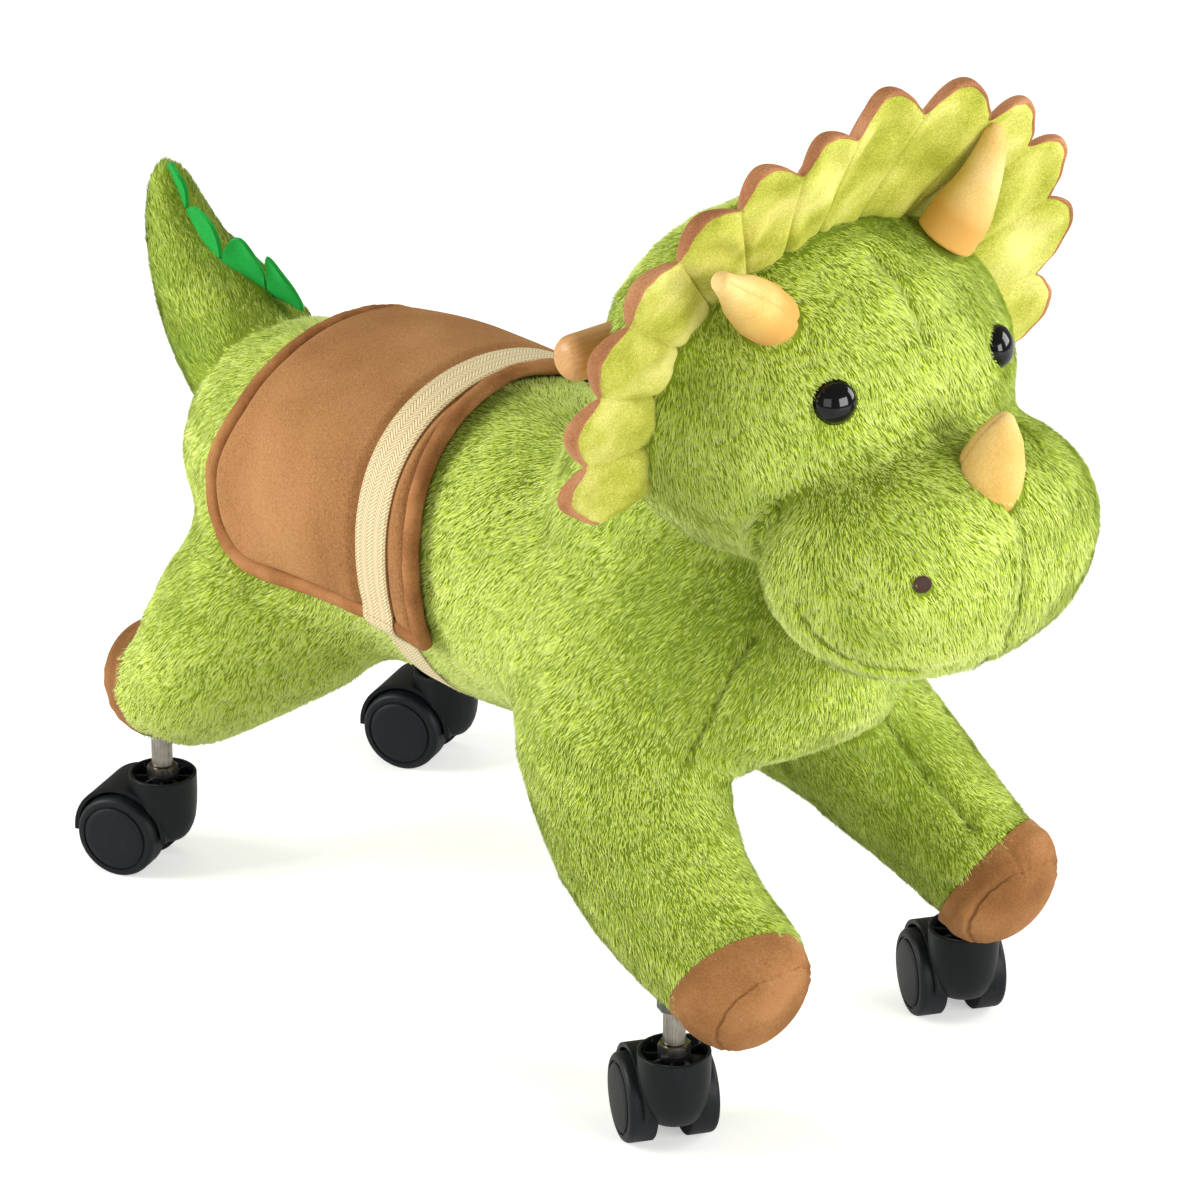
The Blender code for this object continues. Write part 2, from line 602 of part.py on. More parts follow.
def torso_at(y):
    """Centre height and half sizes of the torso at y."""
    for (y1, z1, a1, b1), (y0, z0, a0, b0) in zip(TORSO_ROWS, TORSO_ROWS[1:]):
        if y0 <= y <= y1:
            t = (y - y0) / (y1 - y0)
            return z0 + (z1 - z0) * t, a0 + (a1 - a0) * t, b0 + (b1 - b0) * t
    return TORSO_ROWS[0][1:] if y > 0 else TORSO_ROWS[-1][1:]


def torso_form(grow=0.0):
    body = loft([(0, y, z, a, b) for y, z, a, b in TORSO_ROWS], 24, 1, grow)
    top = Vector((0, HEAD_Y + 22.0 * MM, HEAD_Z - 20.0 * MM))
    base = Vector((0, -78.0 * MM, TORSO_Z - 5.0 * MM))
    neck = []
    for t, share in ((0.0, 0.90), (0.12, 1.08), (0.35, 1.10), (0.6, 1.02), (0.85, 0.98), (1.0, 0.85)):
        p = base.lerp(top, t)
        neck.append((p.x, p.y, p.z, share * NECK_RADIUS, share * NECK_RADIUS * 1.03))
    return combine(body, loft(neck, 20, 1, grow, phase=0.5), mode="UNION")


def head_form(grow=0.0):
    return ellipsoid((0, HEAD_Y, HEAD_Z), (HEAD_HALF_WIDTH, HEAD_HALF_DEPTH, HEAD_HALF_HEIGHT),
                     18, 11, grow, pitch=radians(12), power=2.1)


def muzzle_form(grow=0.0):
    semi = (MUZZLE_HALF_WIDTH, MUZZLE_HALF_DEPTH, MUZZLE_HALF_HEIGHT)
    return ellipsoid((0, MUZZLE_Y, MUZZLE_Z), semi, 18, 11, grow, pitch=radians(14), power=2.25)


FRONT_FOOT_Y = -WHEELBASE / 2 - 26.0 * MM
REAR_FOOT_Y = WHEELBASE / 2 + 8.0 * MM


def leg_keys(sx, front):
    """Sections from inside the torso down to the end of the hoof."""
    half = TORSO_HALF_WIDTH
    if front:
        top, foot = SHOULDER_RADIUS, FRONT_FOOT_RADIUS
        knee_x = 0.5 * (0.78 * half + FOOT_X)
        rows = [(0.46 * half, 0.3825 * FRONT_FOOT_Y, TORSO_Z - 8.0 * MM, 0.86 * top, 1.04 * top),
                (0.62 * half, 0.494 * FRONT_FOOT_Y, TORSO_Z - 46.0 * MM, 0.98 * top, 1.14 * top),
                (knee_x, 0.681 * FRONT_FOOT_Y, RIDE_Z + 82.0 * MM, 0.86 * top, 0.94 * top),
                (FOOT_X, 0.861 * FRONT_FOOT_Y, RIDE_Z + 54.0 * MM, 1.08 * foot, 1.12 * foot),
                (FOOT_X, FRONT_FOOT_Y, RIDE_Z + 38.0 * MM, foot, foot)]
    else:
        top, foot = THIGH_RADIUS, REAR_FOOT_RADIUS
        knee_x = 0.5 * (0.70 * half + FOOT_X)
        rows = [(0.40 * half, 0.558 * REAR_FOOT_Y, TORSO_Z - 14.0 * MM, 0.68 * top, 1.02 * top),
                (0.56 * half, 0.700 * REAR_FOOT_Y, TORSO_Z - 48.0 * MM, 0.78 * top, 1.14 * top),
                (knee_x, 0.824 * REAR_FOOT_Y, RIDE_Z + 80.0 * MM, 0.80 * top, 0.95 * top),
                (FOOT_X, 0.923 * REAR_FOOT_Y, RIDE_Z + 48.0 * MM, 1.08 * foot, 1.16 * foot),
                (FOOT_X, REAR_FOOT_Y, RIDE_Z + 36.0 * MM, foot, foot)]
    return [(sx * x, y, z, wide, high) for x, y, z, wide, high in rows]


def leg_form(sx, front, grow=0.0):
    """Leg with its rounded hoof, before the two are parted."""
    keys = leg_keys(sx, front)
    near, far = Vector(keys[-2][:3]), Vector(keys[-1][:3])
    run = Vector((0, far.y - near.y, 0.42 * (far.z - near.z))).normalized()
    foot = []
    for share, size in ((0.45, 0.97), (0.78, 0.78), (0.94, 0.50), (1.0, 0.22)):
        p = far + run * HOOF_LENGTH * share
        foot.append((p.x, p.y, p.z, size * keys[-1][3], size * keys[-1][4]))
    return loft(spline(keys, 2) + foot, 16, 1, grow)


def parting(sx, front, offset):
    """A big block whose face cuts the hoof from the leg."""
    keys = leg_keys(sx, front)
    near, far = Vector(keys[-2][:3]), Vector(keys[-1][:3])
    run = (far - near).normalized()
    turn = run.to_track_quat("Z", "Y").to_matrix().to_4x4()
    size = 3 * FRONT_FOOT_RADIUS
    square = [(-size, -size), (size, -size), (size, size), (-size, size)]
    return prism(square, offset, offset + size, Matrix.Translation(far) @ turn)


def saddle_rear(turn):
    """Rear edge of the saddle at an angle round the torso, with its rounded lower corner."""
    half = (TORSO_HALF_WIDTH + TORSO_HALF_HEIGHT) / 2
    left = (SADDLE_WRAP - abs(turn)) * half
    if left >= SADDLE_CORNER:
        return SADDLE_REAR_Y
    t = 1 - left / SADDLE_CORNER
    return SADDLE_REAR_Y - SADDLE_CORNER * (1 - sqrt(max(0.0, 1 - t * t)))


def over_torso(turn, y, lift):
    z, a, b = torso_at(y)
    return Vector(((a + lift) * sin(turn), y, z + (b + lift) * cos(turn)))


def saddle_pad(inset=PIPING_RADIUS + SADDLE_LIFT, under=SADDLE_LIFT, over=SADDLE_LIFT + SADDLE_THICK):
    half = (TORSO_HALF_WIDTH + TORSO_HALF_HEIGHT) / 2
    wrap = SADDLE_WRAP - inset / half
    turns = [wrap * (-1 + 2 * j / 18) for j in range(19)]
    stations = [i / 6 for i in range(7)]
    rings = []
    for turn in turns:
        low, high = SADDLE_FRONT_Y + inset, saddle_rear(turn * SADDLE_WRAP / wrap) - inset
        outer = [over_torso(turn, low + (high - low) * s, over) for s in stations]
        inner = [over_torso(turn, low + (high - low) * s, under) for s in stations]
        rings.append(outer + inner[::-1])
    return skin_rings(rings)


def piping_route():
    turns = [SADDLE_WRAP * (-1 + 2 * j / 18) for j in range(19)]
    lift = SADDLE_LIFT + max(PIPING_RADIUS, SADDLE_THICK / 2)
    route = [over_torso(t, SADDLE_FRONT_Y, lift) for t in turns]
    corner = SADDLE_REAR_Y - SADDLE_CORNER
    hem = [SADDLE_FRONT_Y + (corner - SADDLE_FRONT_Y) * s for s in (0.3, 0.65)]
    route += [over_torso(SADDLE_WRAP, y, lift) for y in hem]
    route += [over_torso(t, saddle_rear(t), lift) for t in reversed(turns)]
    route += [over_torso(-SADDLE_WRAP, y, lift) for y in reversed(hem)]
    return route


def girth():
    """A closed band over the saddle and under the belly."""
    half = (TORSO_HALF_WIDTH + TORSO_HALF_HEIGHT) / 2
    count = 44
    rings = []
    for i in range(count):
        turn = -pi + 2 * pi * i / count
        past = (abs(turn) - SADDLE_WRAP) * half
        ease = min(1.0, max(0.0, (past - PIPING_RADIUS * 2) / (22.0 * MM)))
        over = 2 * SADDLE_LIFT + max(SADDLE_THICK, PIPING_RADIUS + SADDLE_THICK / 2)
        low = over + (SADDLE_LIFT - over) * (ease * ease * (3 - 2 * ease))
        y0, y1 = GIRTH_Y - GIRTH_WIDTH / 2, GIRTH_Y + GIRTH_WIDTH / 2
        rings.append([over_torso(turn, y0, low), over_torso(turn, y1, low),
                      over_torso(turn, y1, low + GIRTH_THICK), over_torso(turn, y0, low + GIRTH_THICK)])
    return skin_rings(rings, closed_path=True)


def saddle_room():
    """The space of saddle and piping, and outward of it, that the thighs keep clear of."""
    edge = PIPING_RADIUS + 3 * GAP
    return saddle_pad(-edge, 0.0, 60.0 * MM)


torso_skin = torso_form()
torso_room = torso_form(GAP)
head_room = head_form(GAP)
muzzle_room = muzzle_form(GAP)
saddle_clear = saddle_room()

torso = combine(torso_skin, *FRAME_ROOM, *POST_ROOM)
publish("plush_torso", torso, PLUSH)
head = combine(head_form(), torso_room, *POST_ROOM)
publish("plush_head", head, PLUSH)
muzzle = combine(muzzle_form(), head_room, torso_room)
publish("plush_muzzle", muzzle, PLUSH)

for corner, (sx, sy, yaw) in STEMS.items():
    front = sy < 0
    whole = leg_form(sx, front)
    steel = [hoop_channel(sy), stem_channel(sx, sy)]
    body = [torso_room] if front else [saddle_clear, torso_room]
    leg = combine(whole, *body, *steel, parting(sx, front, -GAP))
    publish(f"plush_leg_{corner}", leg, PLUSH)
    cap = combine(whole, parting(sx, front, 0), mode="INTERSECT")
    publish(f"hoof_{corner}", combine(cap, *steel), HOOF)


# Tail and its felt plates

def tail_keys():
    root = Vector((0, RUMP_Y - 46.0 * MM, TORSO_Z + 4.0 * MM))
    tip = Vector((0, TAIL_REACH, RIDE_Z + TAIL_RISE))
    rise = tip.z - root.z
    reach = tip.y - root.y
    rows = []
    for along, up, share in ((0.0, 0.03, 1.0), (0.30, 0.23, 0.94), (0.61, 0.42, 0.76),
                             (0.86, 0.62, 0.47), (0.98, 0.84, 0.24), (1.0, 0.96, 0.06), (1.0, 1.0, -0.12)):
        size = TAIL_TIP_RADIUS + share * (TAIL_ROOT_RADIUS - TAIL_TIP_RADIUS)
        rows.append((0, root.y + along * reach, root.z + up * rise, size, size))
    return rows


def ridge_line():
    """Points along the upper side of the tail, each with its outward normal."""
    rows = spline(tail_keys(), 4)
    ridge = []
    for k, row in enumerate(rows):
        ahead = Vector(rows[min(k + 1, len(rows) - 1)][:3]) - Vector(rows[max(k - 1, 0)][:3])
        normal = Vector((0, -ahead.z, ahead.y)).normalized()
        ridge.append((Vector(row[:3]) + normal * row[3], normal))
    return ridge


tail = combine(loft(tail_keys(), 14, 2), torso_room)
publish("plush_tail", tail, PLUSH)
tail_room = loft(tail_keys(), 14, 2, GAP)

RIDGE = ridge_line()
PLATE_ENDS = [22, 17, 12, 8, 5]     # points of the ridge where the felt plates meet
for number, tall in enumerate(PLATE_HEIGHTS, 1):
    start, stop = PLATE_ENDS[number - 1:number + 1]
    (a, na), (b, nb) = RIDGE[start], RIDGE[stop]
    run = (b - a)
    up = (na + nb).normalized()
    sink = 5.0 * MM
    outline = []
    for t, h in ((0.0, -sink), (0.02, 0.0), (0.10, 0.55), (0.28, 0.92), (0.45, 1.0), (0.66, 0.84),
                 (0.86, 0.45), (0.98, 0.0), (1.0, -sink)):
        p = a + run * t + up * (h * tall if h > 0 else h)
        outline.append((p.y, p.z))
    flat = Matrix(((0, 0, 1, 0), (1, 0, 0, 0), (0, 1, 0, 0), (0, 0, 0, 1)))
    plate = prism(outline, -PLATE_THICK / 2, PLATE_THICK / 2, flat)
    publish(f"felt_plate_{number}", combine(plate, tail_room, torso_room), FELT)


# Frill: a fan of puffed lobes, lime in front and brown behind

def frill_point(angle, share, lift):
    """Point of the frill at an angle from the top, from the root (0) to the edge (1)."""
    lobe = abs(cos(pi * angle / FRILL_STEP))
    tip = FRILL_SIDE_RADIUS + (FRILL_TOP_RADIUS - FRILL_SIDE_RADIUS) * cos(angle) ** 2
    edge = tip - FRILL_NOTCH * (1 - lobe ** 0.75)
    root = 0.80 / sqrt((sin(angle) / HEAD_HALF_WIDTH) ** 2 + (cos(angle) / HEAD_HALF_HEIGHT) ** 2)
    radius = root + (edge - root) * share
    swept = min(1.0, max(0.0, (abs(angle) - radians(20.0)) / radians(78.0))) ** 1.6
    y = FRILL_TOP_Y + (FRILL_SIDE_Y - FRILL_TOP_Y) * swept + FRILL_LEAN * (1 - share) * (1 - swept)
    puff = FRILL_EDGE + FRILL_PUFF * lobe ** 0.8 * (1 - share ** 4) * min(1.0, 0.35 + share)
    return Vector((radius * sin(angle), y + lift * puff, FRILL_Z + radius * cos(angle)))


def frill_form(lift, half_gap):
    """One velvet layer; lift -1 is the front, +1 the back."""
    span = FRILL_LOBES * FRILL_STEP / 2
    columns = FRILL_LOBES * 4
    shares = (0.0, 0.55, 1.0)
    outer, inner = [], []
    for c in range(columns + 1):
        angle = -span + 2 * span * c / columns
        outer.append([frill_point(angle, s, lift) for s in shares])
        inner.append([frill_point(angle, s, 0) + Vector((0, lift * half_gap, 0)) for s in shares])
    rings = [o + i[::-1] for o, i in zip(outer, inner)]
    return skin_rings(rings)


# Horns and eyes

def horn(base, lean, length, radius, sides=12, grow=0.0):
    """A soft horn that starts inside the head, with a slight curve and a round tip."""
    run = lean.normalized()
    bend = Vector((0, 0, 1)) - run * run.z
    keys = []
    for t, size in ((-0.25, 1.0), (0.1, 1.0), (0.4, 0.84), (0.7, 0.62), (0.92, 0.42), (1.0, 0.20)):
        p = base + run * length * t + bend * (0.10 * length * max(t, 0) ** 2)
        r = HORN_TIP_RADIUS + (radius - HORN_TIP_RADIUS) * max(0.0, (size - 0.42) / 0.58)
        if t == 1.0:
            r = 0.55 * HORN_TIP_RADIUS
        keys.append((p.x, p.y, p.z, r, r))
    return loft(keys, sides, 1, grow, across=Vector((0, 1, 0)))


BROW_BASE = {"right": Vector((-76.0 * MM, -255.0 * MM, HEAD_Z + 65.0 * MM)),
             "left": Vector((60.0 * MM, -255.0 * MM, HEAD_Z + 82.0 * MM))}
BROW_LEAN = {"right": Vector((-52, -22, 38)), "left": Vector((8, -18, 58))}


def brow_horn(name, grow=0.0):
    return horn(BROW_BASE[name], BROW_LEAN[name], BROW_HORN_LENGTH, BROW_HORN_RADIUS, grow=grow)


for name in BROW_BASE:
    publish(f"horn_brow_{name}", combine(brow_horn(name), head_room), CREAM)
horn_rooms = [brow_horn(name, GAP) for name in BROW_BASE]
for name, lift, mat in (("frill_front", -1, VELVET), ("frill_back", 1, BROWN)):
    publish(name, combine(frill_form(lift, FRILL_PARTING / 2), *horn_rooms, head_room), mat)
nose_base = Vector((0, -337.0 * MM, MUZZLE_Z + 36.0 * MM))
nose = horn(nose_base, Vector((0, -14, 41)), NOSE_HORN_LENGTH, NOSE_HORN_RADIUS)
publish("horn_nose", combine(nose, head_room, muzzle_room), CREAM)

EYE_AT = Vector((58.0 * MM, -287.0 * MM, HEAD_Z + 25.0 * MM))
for name, sx in (("right", -1), ("left", 1)):
    at = Vector((sx * EYE_AT.x, EYE_AT.y, EYE_AT.z))
    centre = Vector((0, HEAD_Y, HEAD_Z))
    out = Vector(((at.x - centre.x) / HEAD_HALF_WIDTH ** 2, (at.y - centre.y) / HEAD_HALF_DEPTH ** 2,
                  (at.z - centre.z) / HEAD_HALF_HEIGHT ** 2)).normalized()
    frame = Matrix.Translation(at) @ out.to_track_quat("Z", "Y").to_matrix().to_4x4()
    dome = [(0, EYE_DOME), (0.45 * EYE_RADIUS, 0.88 * EYE_DOME), (0.80 * EYE_RADIUS, 0.58 * EYE_DOME),
            (EYE_RADIUS, 0.0), (0.92 * EYE_RADIUS, -EYE_SEAT), (0, -EYE_SEAT)]
    publish(f"eye_{name}", combine(revolve(dome, 14, frame), head_room), EYE)


# Saddle, piping and girth

publish("saddle_pad", saddle_pad(), SUEDE)
publish("saddle_piping", tube(piping_route(), PIPING_RADIUS, 6, closed=True), PIPE)
publish("girth_webbing", girth(), WEBBING)
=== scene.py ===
"""Looks for the plush ride-on dinosaur: pile, velvet, suede, webbing, oak, zinc and black casters.

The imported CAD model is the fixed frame. Each class below dresses one sub-assembly of the toy in
the same place as its CAD nodes. Lengths are in metres; MM turns a number of millimetres into them.
"""
import logging
from contextlib import contextmanager
from dataclasses import dataclass, field
from enum import Enum
from math import cos, pi, radians, sin, sqrt, tau
from typing import Callable, Iterator, Sequence

import bpy
import numpy as np
from mathutils import Matrix, Vector
from mathutils.bvhtree import BVHTree


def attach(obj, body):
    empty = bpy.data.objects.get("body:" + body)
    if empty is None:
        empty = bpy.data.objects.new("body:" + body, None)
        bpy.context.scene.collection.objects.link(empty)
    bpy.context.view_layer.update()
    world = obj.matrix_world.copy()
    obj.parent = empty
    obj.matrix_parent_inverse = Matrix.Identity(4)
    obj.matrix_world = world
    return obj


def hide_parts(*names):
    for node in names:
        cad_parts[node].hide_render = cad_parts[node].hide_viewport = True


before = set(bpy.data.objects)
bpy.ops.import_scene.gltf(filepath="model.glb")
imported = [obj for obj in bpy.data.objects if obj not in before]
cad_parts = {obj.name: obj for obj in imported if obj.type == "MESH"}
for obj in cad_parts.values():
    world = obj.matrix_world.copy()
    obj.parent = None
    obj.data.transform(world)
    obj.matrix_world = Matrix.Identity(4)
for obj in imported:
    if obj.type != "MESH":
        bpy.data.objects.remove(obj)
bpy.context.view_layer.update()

MM = 0.001
BODY_Y = 5.13 * MM                 # the CAD stands this far back of the middle of its wheelbase
RIDE_Z = 75.82 * MM                # bottom of the feet
TORSO_Z = RIDE_Z + 171.0 * MM
HEAD_Z = RIDE_Z + 340.0 * MM
MUZZLE_Z = RIDE_Z + 277.0 * MM
FRILL_Z = RIDE_Z + 325.0 * MM
BODY = "ride_frame"
SMALL = 1e-9

Triple = tuple[float, float, float]
Pair = tuple[float, float]
Colour = Triple
Seam = tuple[Triple, ...]
Points = np.ndarray                # rows of x, y, z
Values = np.ndarray
Surface = Callable[[Points, Points], Points]
Combing = Callable[[Points], Points]
Piece = bpy.types.Object
Material = bpy.types.Material

logging.basicConfig(level=logging.INFO, format="%(message)s")
LOG = logging.getLogger("dinosaur")


def shown(*levels: int) -> Colour:
    """Linear colour that the screen shows as these 0 to 255 values of red, green and blue."""
    return tuple(c / 255 / 12.92 if c < 11 else ((c / 255 + 0.055) / 1.055) ** 2.4 for c in levels)


def dimmed(colour: Colour, share: float) -> Colour:
    """The colour with this share of its light."""
    return tuple(c * share for c in colour)


def arithmetic(operation: str, reflected: bool = False) -> Callable[["Wire", "Wire | float"], "Wire"]:
    """An operator of Wire that adds a Math node; reflected where the wire stands on the right."""
    def method(wire: "Wire", other: "Wire | float") -> "Wire":
        """The result of the operation."""
        inputs = {0: other, 1: wire} if reflected else {0: wire, 1: other}
        return wire.graph.add("ShaderNodeMath", {"operation": operation}, inputs)
    return method


class Wire:
    """A node's output; an expression on it adds the Math nodes that work it out."""

    def __init__(self, graph: "Graph", socket: bpy.types.NodeSocket) -> None:
        """Keeps the output socket and the graph it is in."""
        self.graph, self.socket = graph, socket

    __add__, __radd__ = arithmetic("ADD"), arithmetic("ADD", True)
    __sub__, __rsub__ = arithmetic("SUBTRACT"), arithmetic("SUBTRACT", True)
    __mul__, __rmul__ = arithmetic("MULTIPLY"), arithmetic("MULTIPLY", True)
    __pow__ = arithmetic("POWER")

    def step(self, low: float, high: float) -> "Wire":
        """0 below low, 1 above high, smooth between."""
        return self.graph.add("ShaderNodeMapRange", {"interpolation_type": "SMOOTHSTEP", "clamp": True},
                              {"Value": self, "From Min": low, "From Max": high})


class Graph:
    """The nodes of one material."""

    def __init__(self, name: str) -> None:
        """Starts a material that has one Principled shader."""
        self.material = bpy.data.materials.new(name)
        self.material.use_nodes = True
        self.tree = self.material.node_tree
        self.shader = self.tree.nodes["Principled BSDF"]

    def add(self, kind: str, settings: dict | None = None, inputs: dict | None = None,
            output: int | str = 0) -> Wire:
        """Adds a node of any kind.

        Args:
            kind: Its type, as bpy names it.
            settings: Its own settings, set first; "stops" holds a ramp's (place, colour) pairs.
            inputs: Value or Wire for each socket that isn't left alone.
            output: Which of its outputs to hand on.

        Returns:
            The chosen output.
        """
        node = self.tree.nodes.new(kind)
        for key, value in (settings or {}).items():
            if key != "stops":
                setattr(node, key, value)
                continue
            stops = node.color_ramp.elements
            while len(stops) < len(value):
                stops.new(1.0)
            for stop, (place, colour) in zip(stops, value):
                stop.position = place
                stop.color = (*colour, 1.0)
        for key, value in (inputs or {}).items():
            socket = node.inputs[key]
            if isinstance(value, Wire):
                self.tree.links.new(value.socket, socket)
            else:
                socket.default_value = (*value, 1.0) if socket.type == "RGBA" and len(value) == 3 else value
        return Wire(self, node.outputs[output])

    def place(self, scale: Sequence[float] = (1, 1, 1), turn: Sequence[float] = (0, 0, 0)) -> Wire:
        """Object coordinates, scaled and turned."""
        at = self.add("ShaderNodeTexCoord", output="Object")
        return self.add("ShaderNodeMapping", inputs={"Vector": at, "Scale": scale, "Rotation": turn})

    def grain(self, at: Wire, scale: float, detail: float = 3.0, rough: float = 0.55) -> Wire:
        """Noise from 0 to 1 with features of about 1 / scale."""
        return self.add("ShaderNodeTexNoise", {}, {"Vector": at, "Scale": scale, "Detail": detail,
                                                   "Roughness": rough})

    def mix(self, share: Wire | float, first: Wire | Colour, second: Wire | Colour,
            way: str = "MIX") -> Wire:
        """Two colours mixed, or the second laid on the first by `way`."""
        return self.add("ShaderNodeMix", {"data_type": "RGBA", "blend_type": way},
                        {0: share, 6: first, 7: second}, 2)

    def ramp(self, value: Wire, *stops: tuple[float, Colour]) -> Wire:
        """The colour of a value along a ramp."""
        return self.add("ShaderNodeValToRGB", {"stops": stops}, {"Fac": value})

    def parts(self, vector: Wire) -> list[Wire]:
        """The three numbers of a vector."""
        node = self.add("ShaderNodeSeparateXYZ", inputs={0: vector}).socket.node
        return [Wire(self, out) for out in node.outputs]

    def bump(self, height: Wire, depth: float, strength: float = 1.0) -> Wire:
        """A normal that follows a height, `depth` metres deep."""
        return self.add("ShaderNodeBump", inputs={"Height": height, "Distance": depth, "Strength": strength})

    def finish(self, **sockets: object) -> Material:
        """Sets the shader's sockets, whose names have _ for each space, and returns the material."""
        for key, value in sockets.items():
            socket = self.shader.inputs[key.replace("_", " ")]
            if isinstance(value, Wire):
                self.tree.links.new(value.socket, socket)
            else:
                socket.default_value = (*value, 1.0) if socket.type == "RGBA" else value
        return self.material


@dataclass(frozen=True)
class Finish:
    """A finish of one of the toy's surfaces."""

    name: str
    slot: str

    def material(self) -> Material:
        """The finish's material, made the first time it is asked for."""
        return bpy.data.materials.get(self.name) or self.build(Graph(self.name))

    def build(self, graph: Graph) -> Material:
        """Fills the graph; each kind of finish does this in its own way."""
        raise NotImplementedError

    def dress(self, piece: Piece) -> None:
        """Gives the piece this finish alone."""
        piece.data.materials.clear()
        piece.data.materials.append(self.material())


@dataclass(frozen=True)
class Pile(Finish):
    """Plush tufts: U of the piece's own map is the tint, V runs from root to tip."""

    # The root colour is painted shade among the tufts, and the pale tip colour is painted light on them.
    root: Colour = shown(172, 196, 26)
    middle: Colour = shown(204, 225, 54)
    tip: Colour = shown(240, 250, 174)

    def build(self, graph: Graph) -> Material:
        """Dark roots as painted shade among the tufts, pale tips as painted light on them, and tints that
        wander between yellow and green.
        """
        tint, along, _ = graph.parts(graph.add("ShaderNodeUVMap", {"uv_map": "OFBake"}))
        body = graph.ramp(along, (0.0, self.root), (0.45, self.middle), (1.0, self.tip))
        shift = graph.ramp(tint, (0.0, (0.36, 0.45, 0.20)), (0.35, (0.74, 0.79, 0.60)),
                           (0.6, (0.96, 0.97, 0.94)), (1.0, (1.16, 1.10, 1.40)))
        return graph.finish(Base_Color=graph.mix(1.0, body, shift, "MULTIPLY"), Roughness=0.68,
                            Specular_IOR_Level=0.15, Sheen_Weight=0.22, Sheen_Roughness=0.45,
                            Sheen_Tint=(0.95, 1.0, 0.55))


@dataclass(frozen=True)
class Backing(Finish):
    """The knitted ground that the pile grows from, kept dark as painted shade where it shows in seams, folds
    and gaps between tufts.
    """

    colour: Colour = shown(132, 154, 30)

    def build(self, graph: Graph) -> Material:
        """A mottled green with a fine bump."""
        at = graph.place()
        fine = graph.grain(at, 900.0)
        tone = graph.ramp(graph.grain(at, 60.0), (0.3, dimmed(self.colour, 0.75)), (0.7, self.colour))
        return graph.finish(Base_Color=tone, Roughness=0.95, Normal=graph.bump(fine, 0.6 * MM))


@dataclass(frozen=True)
class Velvet(Finish):
    """Short napped velvet whose pile, laid this way and that, shows in lighter and darker patches."""

    colour: Colour = shown(184, 184, 76)
    light: Colour = shown(220, 213, 130)
    dark: Colour = shown(142, 148, 42)
    sheen: float = 0.3
    streak: Triple = (1.0, 1.0, 1.0)
    patch: float = 26.0
    fine: float = 0.36             # share of the finest nap in the tone
    foot: Colour | None = None     # colour at the start of V, as at the base of a horn

    def build(self, graph: Graph) -> Material:
        """Broad patches of laid nap, fine nap and a soft edge light."""
        at = graph.place(self.streak)
        broad = graph.grain(at, self.patch, 2.0, 0.5)
        nap = graph.grain(at, 420.0, 4.0, 0.7)
        fine = graph.grain(at, 1400.0, 2.0, 0.6)
        value = broad * (0.85 - self.fine) + nap * 0.15 + fine * self.fine
        tone = graph.ramp(value, (0.39, self.dark), (0.5, self.colour), (0.61, self.light))
        if self.foot:
            _, along, _ = graph.parts(graph.add("ShaderNodeUVMap", {"uv_map": "UVMap"}))
            tone = graph.mix(along.step(0.22, 0.48), self.foot, tone)
        height = nap * 0.6 + fine * 0.4
        return graph.finish(Base_Color=tone, Roughness=0.86, Specular_IOR_Level=0.2,
                            Sheen_Weight=self.sheen, Sheen_Roughness=0.35, Sheen_Tint=self.light,
                            Normal=graph.bump(height, 0.35 * MM))


@dataclass(frozen=True)
class Webbing(Finish):
    """Herringbone tape: U across the tape and V along it."""

    colour: Colour = shown(246, 228, 182)
    shade: Colour = shown(164, 134, 86)
    across: float = 5.0            # chevron columns across the tape
    along: float = 270.0           # picks round the belly

    def build(self, graph: Graph) -> Material:
        """Slanted yarns that turn at each column, rounded by bump."""
        u, v, _ = graph.parts(graph.add("ShaderNodeUVMap", {"uv_map": "UVMap"}))
        column = u * self.across
        saw = graph.add("ShaderNodeMath", {"operation": "PINGPONG"}, {0: column, 1: 1.0})
        pick = graph.add("ShaderNodeMath", {"operation": "FRACT"}, {0: v * self.along + saw * 2.2})
        yarn = 1.0 - (pick * 2.0 - 1.0) ** 2.0
        edge = graph.add("ShaderNodeMath", {"operation": "PINGPONG"}, {0: column, 1: 0.5})
        height = yarn.step(0.0, 0.7) * (0.66 + edge * 0.68)
        fuzz = graph.grain(graph.place(), 1500.0, 2.0)
        # The tone follows the weave's height: the shade colour is painted shade in the low gaps between yarns
        # and where the chevrons turn.
        tone = graph.mix(height * 0.85 + fuzz * 0.15, self.shade, self.colour)
        return graph.finish(Base_Color=tone, Roughness=0.82, Sheen_Weight=0.15,
                            Normal=graph.bump(height, 0.5 * MM))


@dataclass(frozen=True)
class Thread(Finish):
    """Sewing thread."""

    colour: Colour = shown(190, 150, 90)

    def build(self, graph: Graph) -> Material:
        """Twisted thread: a fine light and dark grain."""
        tone = graph.ramp(graph.grain(graph.place(), 2500.0), (0.3, dimmed(self.colour, 0.7)),
                          (0.7, self.colour))
        return graph.finish(Base_Color=tone, Roughness=0.6)


@dataclass(frozen=True)
class Felt(Finish):
    """Pressed felt with short loose fibres."""

    colour: Colour = shown(0, 158, 54)

    def build(self, graph: Graph) -> Material:
        """Fibres at two scales, lighter where they catch light."""
        at = graph.place()
        fibre = graph.grain(graph.place((1.0, 0.35, 1.0), (0.4, 0.7, 0.2)), 900.0, 5.0, 0.75)
        cloud = graph.grain(at, 120.0, 3.0)
        tone = graph.ramp(fibre * 0.6 + cloud * 0.4, (0.3, dimmed(self.colour, 0.72)),
                          (0.55, self.colour), (0.8, shown(20, 172, 74)))
        return graph.finish(Base_Color=tone, Roughness=0.95, Sheen_Weight=0.12, Sheen_Tint=(0.2, 1.0, 0.4),
                            Normal=graph.bump(fibre, 0.4 * MM))


